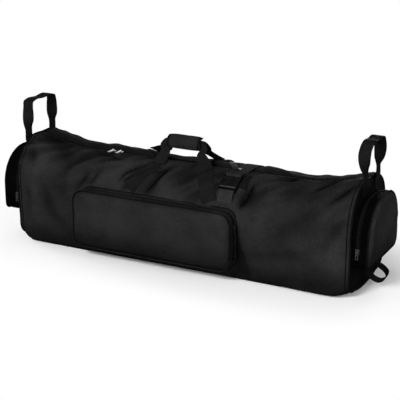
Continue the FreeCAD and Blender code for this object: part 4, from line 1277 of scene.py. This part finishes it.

# The tail's sealed end is glossy, and its colour is paler than the strap's, a painted highlight
sealed = clouded("heat-sealed webbing painted pale for highlight", 0.020, 0.055, 0.28, 0.6, 260.0, 3.0, vary=(0.3, 0.12))[0]
tail_x = strap_x - 0.0150
tail = ribbon("strap_tail", [
    ((tail_x, -0.0150, 0.3122), (0.0100, 0, 0), (0, 0, 1)),
    ((tail_x, -0.0270, 0.3128), (0.0100, 0, 0), (0, 0, 1)),
    ((tail_x, -0.0380, 0.3180), (0.0100, 0, 0), (0, 0.4, 0.9)),
    ((tail_x, -0.0480, 0.3270), (0.0100, 0, 0.0005), (0, 0.6, 0.8)),
    ((tail_x - 0.0010, -0.0560, 0.3370), (0.0098, 0, 0.0010), (0, 0.8, 0.6)),
    ((tail_x - 0.0020, -0.0600, 0.3440), (0.0094, 0, 0.0015), (0, 1, 0.3))], 0.0026, sealed, count=40)
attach(tail, "strap")
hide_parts("upper_strap")

foot = [over_case(front_skin, v, lift) for v, lift in ((foot_v, 0.0017), (0.2480, 0.0018), (0.2550, 0.0032))]
ring = [by_buckle(b, c) for b, c in (
    (-0.0395, -0.0050), (-0.0350, -0.0036), (-0.0307, 0), (-0.0350, 0.0036), (-0.0395, 0.0010))]
over = [over_case(front_skin, v, lift) for v, lift in ((0.2600, 0.0092), (0.2525, 0.0058), (0.2465, 0.0045))]
lower = ribbon("lower_strap_webbing", foot + ring + over, material=strap_finish, count=90)
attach(lower, "front_flap")
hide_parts("lower_strap")
tab_path = [(0.220, 0.2975), (0.220, 0.3200), (0.220, 0.3440)]
side_tab = laid_strip("side_tab_webbing", front_skin, tab_path, 0.011, 0.0044, 24)
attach(side_tab, "front_flap")
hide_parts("side_tab")
tab_rows = box_stitch(front_skin, tab_path, 0.011, 0.1, 0.5, 0.0050)
foot_rows = []
for v in (0.2425, 0.2450):
    found = [on_skin(front_skin, strap_x + s * 0.022, v, 0.0034) for s in np.linspace(-1, 1, 9)]
    foot_rows.append(([p for p, _ in found], [w for _, w in found]))
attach(stitches("strap_foot_stitching", tab_rows + foot_rows), "front_flap")


# Buckle: two mouldings in semi-gloss acetal. The socket has side windows, a sunk face with arrow ribs
# and a bar for the lower strap. The plug has a ribbed shoulder, two prongs and a guide.
def acetal(name, dull, bright, specular):
    made, nodes, links, shader = clouded(
        name, dull, bright, 0.36, specular, 60.0, 4.0, low=0.35, high=0.68, vary=(0.24, 0.22))
    pitted = bumped(nodes, links, mottle(nodes, links, 700.0, 3.0), 0.25, 0.0001)
    links.new(pitted.outputs[0], shader.inputs["Normal"])
    return made


moulding = acetal("black acetal", 0.0014, 0.0042, 0.03)
# Painted highlight: the bars take a paler, glossier acetal, as if they catch the light
highlight_acetal = acetal("acetal painted pale for highlights", 0.022, 0.055, 0.30)


def moulded(name, blocks, highlight_blocks):
    """Blocks in the buckle's own axes, in millimetres, as one moulding with eased edges. A block has its
    two corners and how far it is turned in its own plane. The last blocks take a paler acetal, a painted
    highlight."""
    shape = bmesh.new()
    for highlit, (low, high, turn) in [(0, block) for block in blocks] + [(1, block) for block in highlight_blocks]:
        made = bmesh.ops.create_cube(shape, size=1)["verts"]
        for face in {face for vertex in made for face in vertex.link_faces}:
            face.material_index = highlit
        middle, span = (np.array(high) + low) / 2000, (np.array(high) - low) / 1000
        cosine, sine = math.cos(math.radians(turn)), math.sin(math.radians(turn))
        for vertex in made:
            a, b, c = span * np.array(vertex.co)
            vertex.co = middle + (a * cosine - b * sine, a * sine + b * cosine, c)
    bmesh.ops.bevel(
        shape, geom=shape.edges[:], offset=0.0008, offset_type="OFFSET", segments=3, profile=0.6,
        affect="EDGES")
    for vertex in shape.verts:
        vertex.co = Vector(on_buckle(*vertex.co))
    mesh = bpy.data.meshes.new(name)
    shape.to_mesh(mesh)
    shape.free()
    made = bpy.data.objects.new(name, mesh)
    bpy.context.scene.collection.objects.link(made)
    mesh.polygons.foreach_set("use_smooth", [True] * len(mesh.polygons))
    mesh.materials.append(moulding)
    mesh.materials.append(highlight_acetal)
    creased = made.modifiers.new("even shading", "WEIGHTED_NORMAL")
    creased.keep_sharp = True
    return made


# The same on both sides of the middle, in pairs
socket_blocks, plug_blocks = [], []
for blocks, low, high in (
        (socket_blocks, (26, -36, -6.5), (30, 6, -3.0)), (socket_blocks, (26, -36, -3.2), (30, -18, 3.2)),
        (socket_blocks, (26, -8, -3.2), (30, 6, 3.2)), (socket_blocks, (26, -36, 3.0), (30, 6, 6.3)),
        (plug_blocks, (26, 16, -6), (30, 30, 6)), (plug_blocks, (15.2, -19.5, -2), (25.2, 7.5, 2))):
    blocks += [((-high[0], *low[1:]), (-low[0], *high[1:]), 0), (low, high, 0)]
socket_blocks += [
    ((-27, -24, -6.5), (27, 6, -4.3), 0), ((-27, -24, -5.0), (27, -22, 5.0), 0),
    ((-27, -24, 2.4), (27, 6, 4.3), 0), ((-27, 3.2, 3.0), (27, 6, 6.0), 0)]
for step in (-16.0, -10.5, -5.0):
    for left, right, turn in ((-16.5, 1.5, 24), (-1.5, 16.5, -24)):
        socket_blocks.append(((left, step - 0.9, 3.6), (right, step + 0.9, 5.7), turn))
socket_bars = [((-27, -36, -2.0), (27, -32, 2.0), 0), ((-27, -24, 3.0), (27, -20.5, 6.2), 0)]
socket = moulded("socket_moulding", socket_blocks, socket_bars)
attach(socket, "front_flap")
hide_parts("buckle_socket")

plug_blocks += [((-30, 6.5, -6), (30, 17, 6), 0), ((-4, -13.5, -2), (4, 7.5, 2), 0)]
plug_bars = [((-27, 26, -2), (27, 30, 2), 0)]
plug_bars += [((-24, step - 0.6, 5.2), (24, step + 0.6, 6.5), 0) for step in (8.8, 11.6, 14.4)]
plug = moulded("plug_moulding", plug_blocks, plug_bars)
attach(plug, "strap")
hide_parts("buckle_plug")
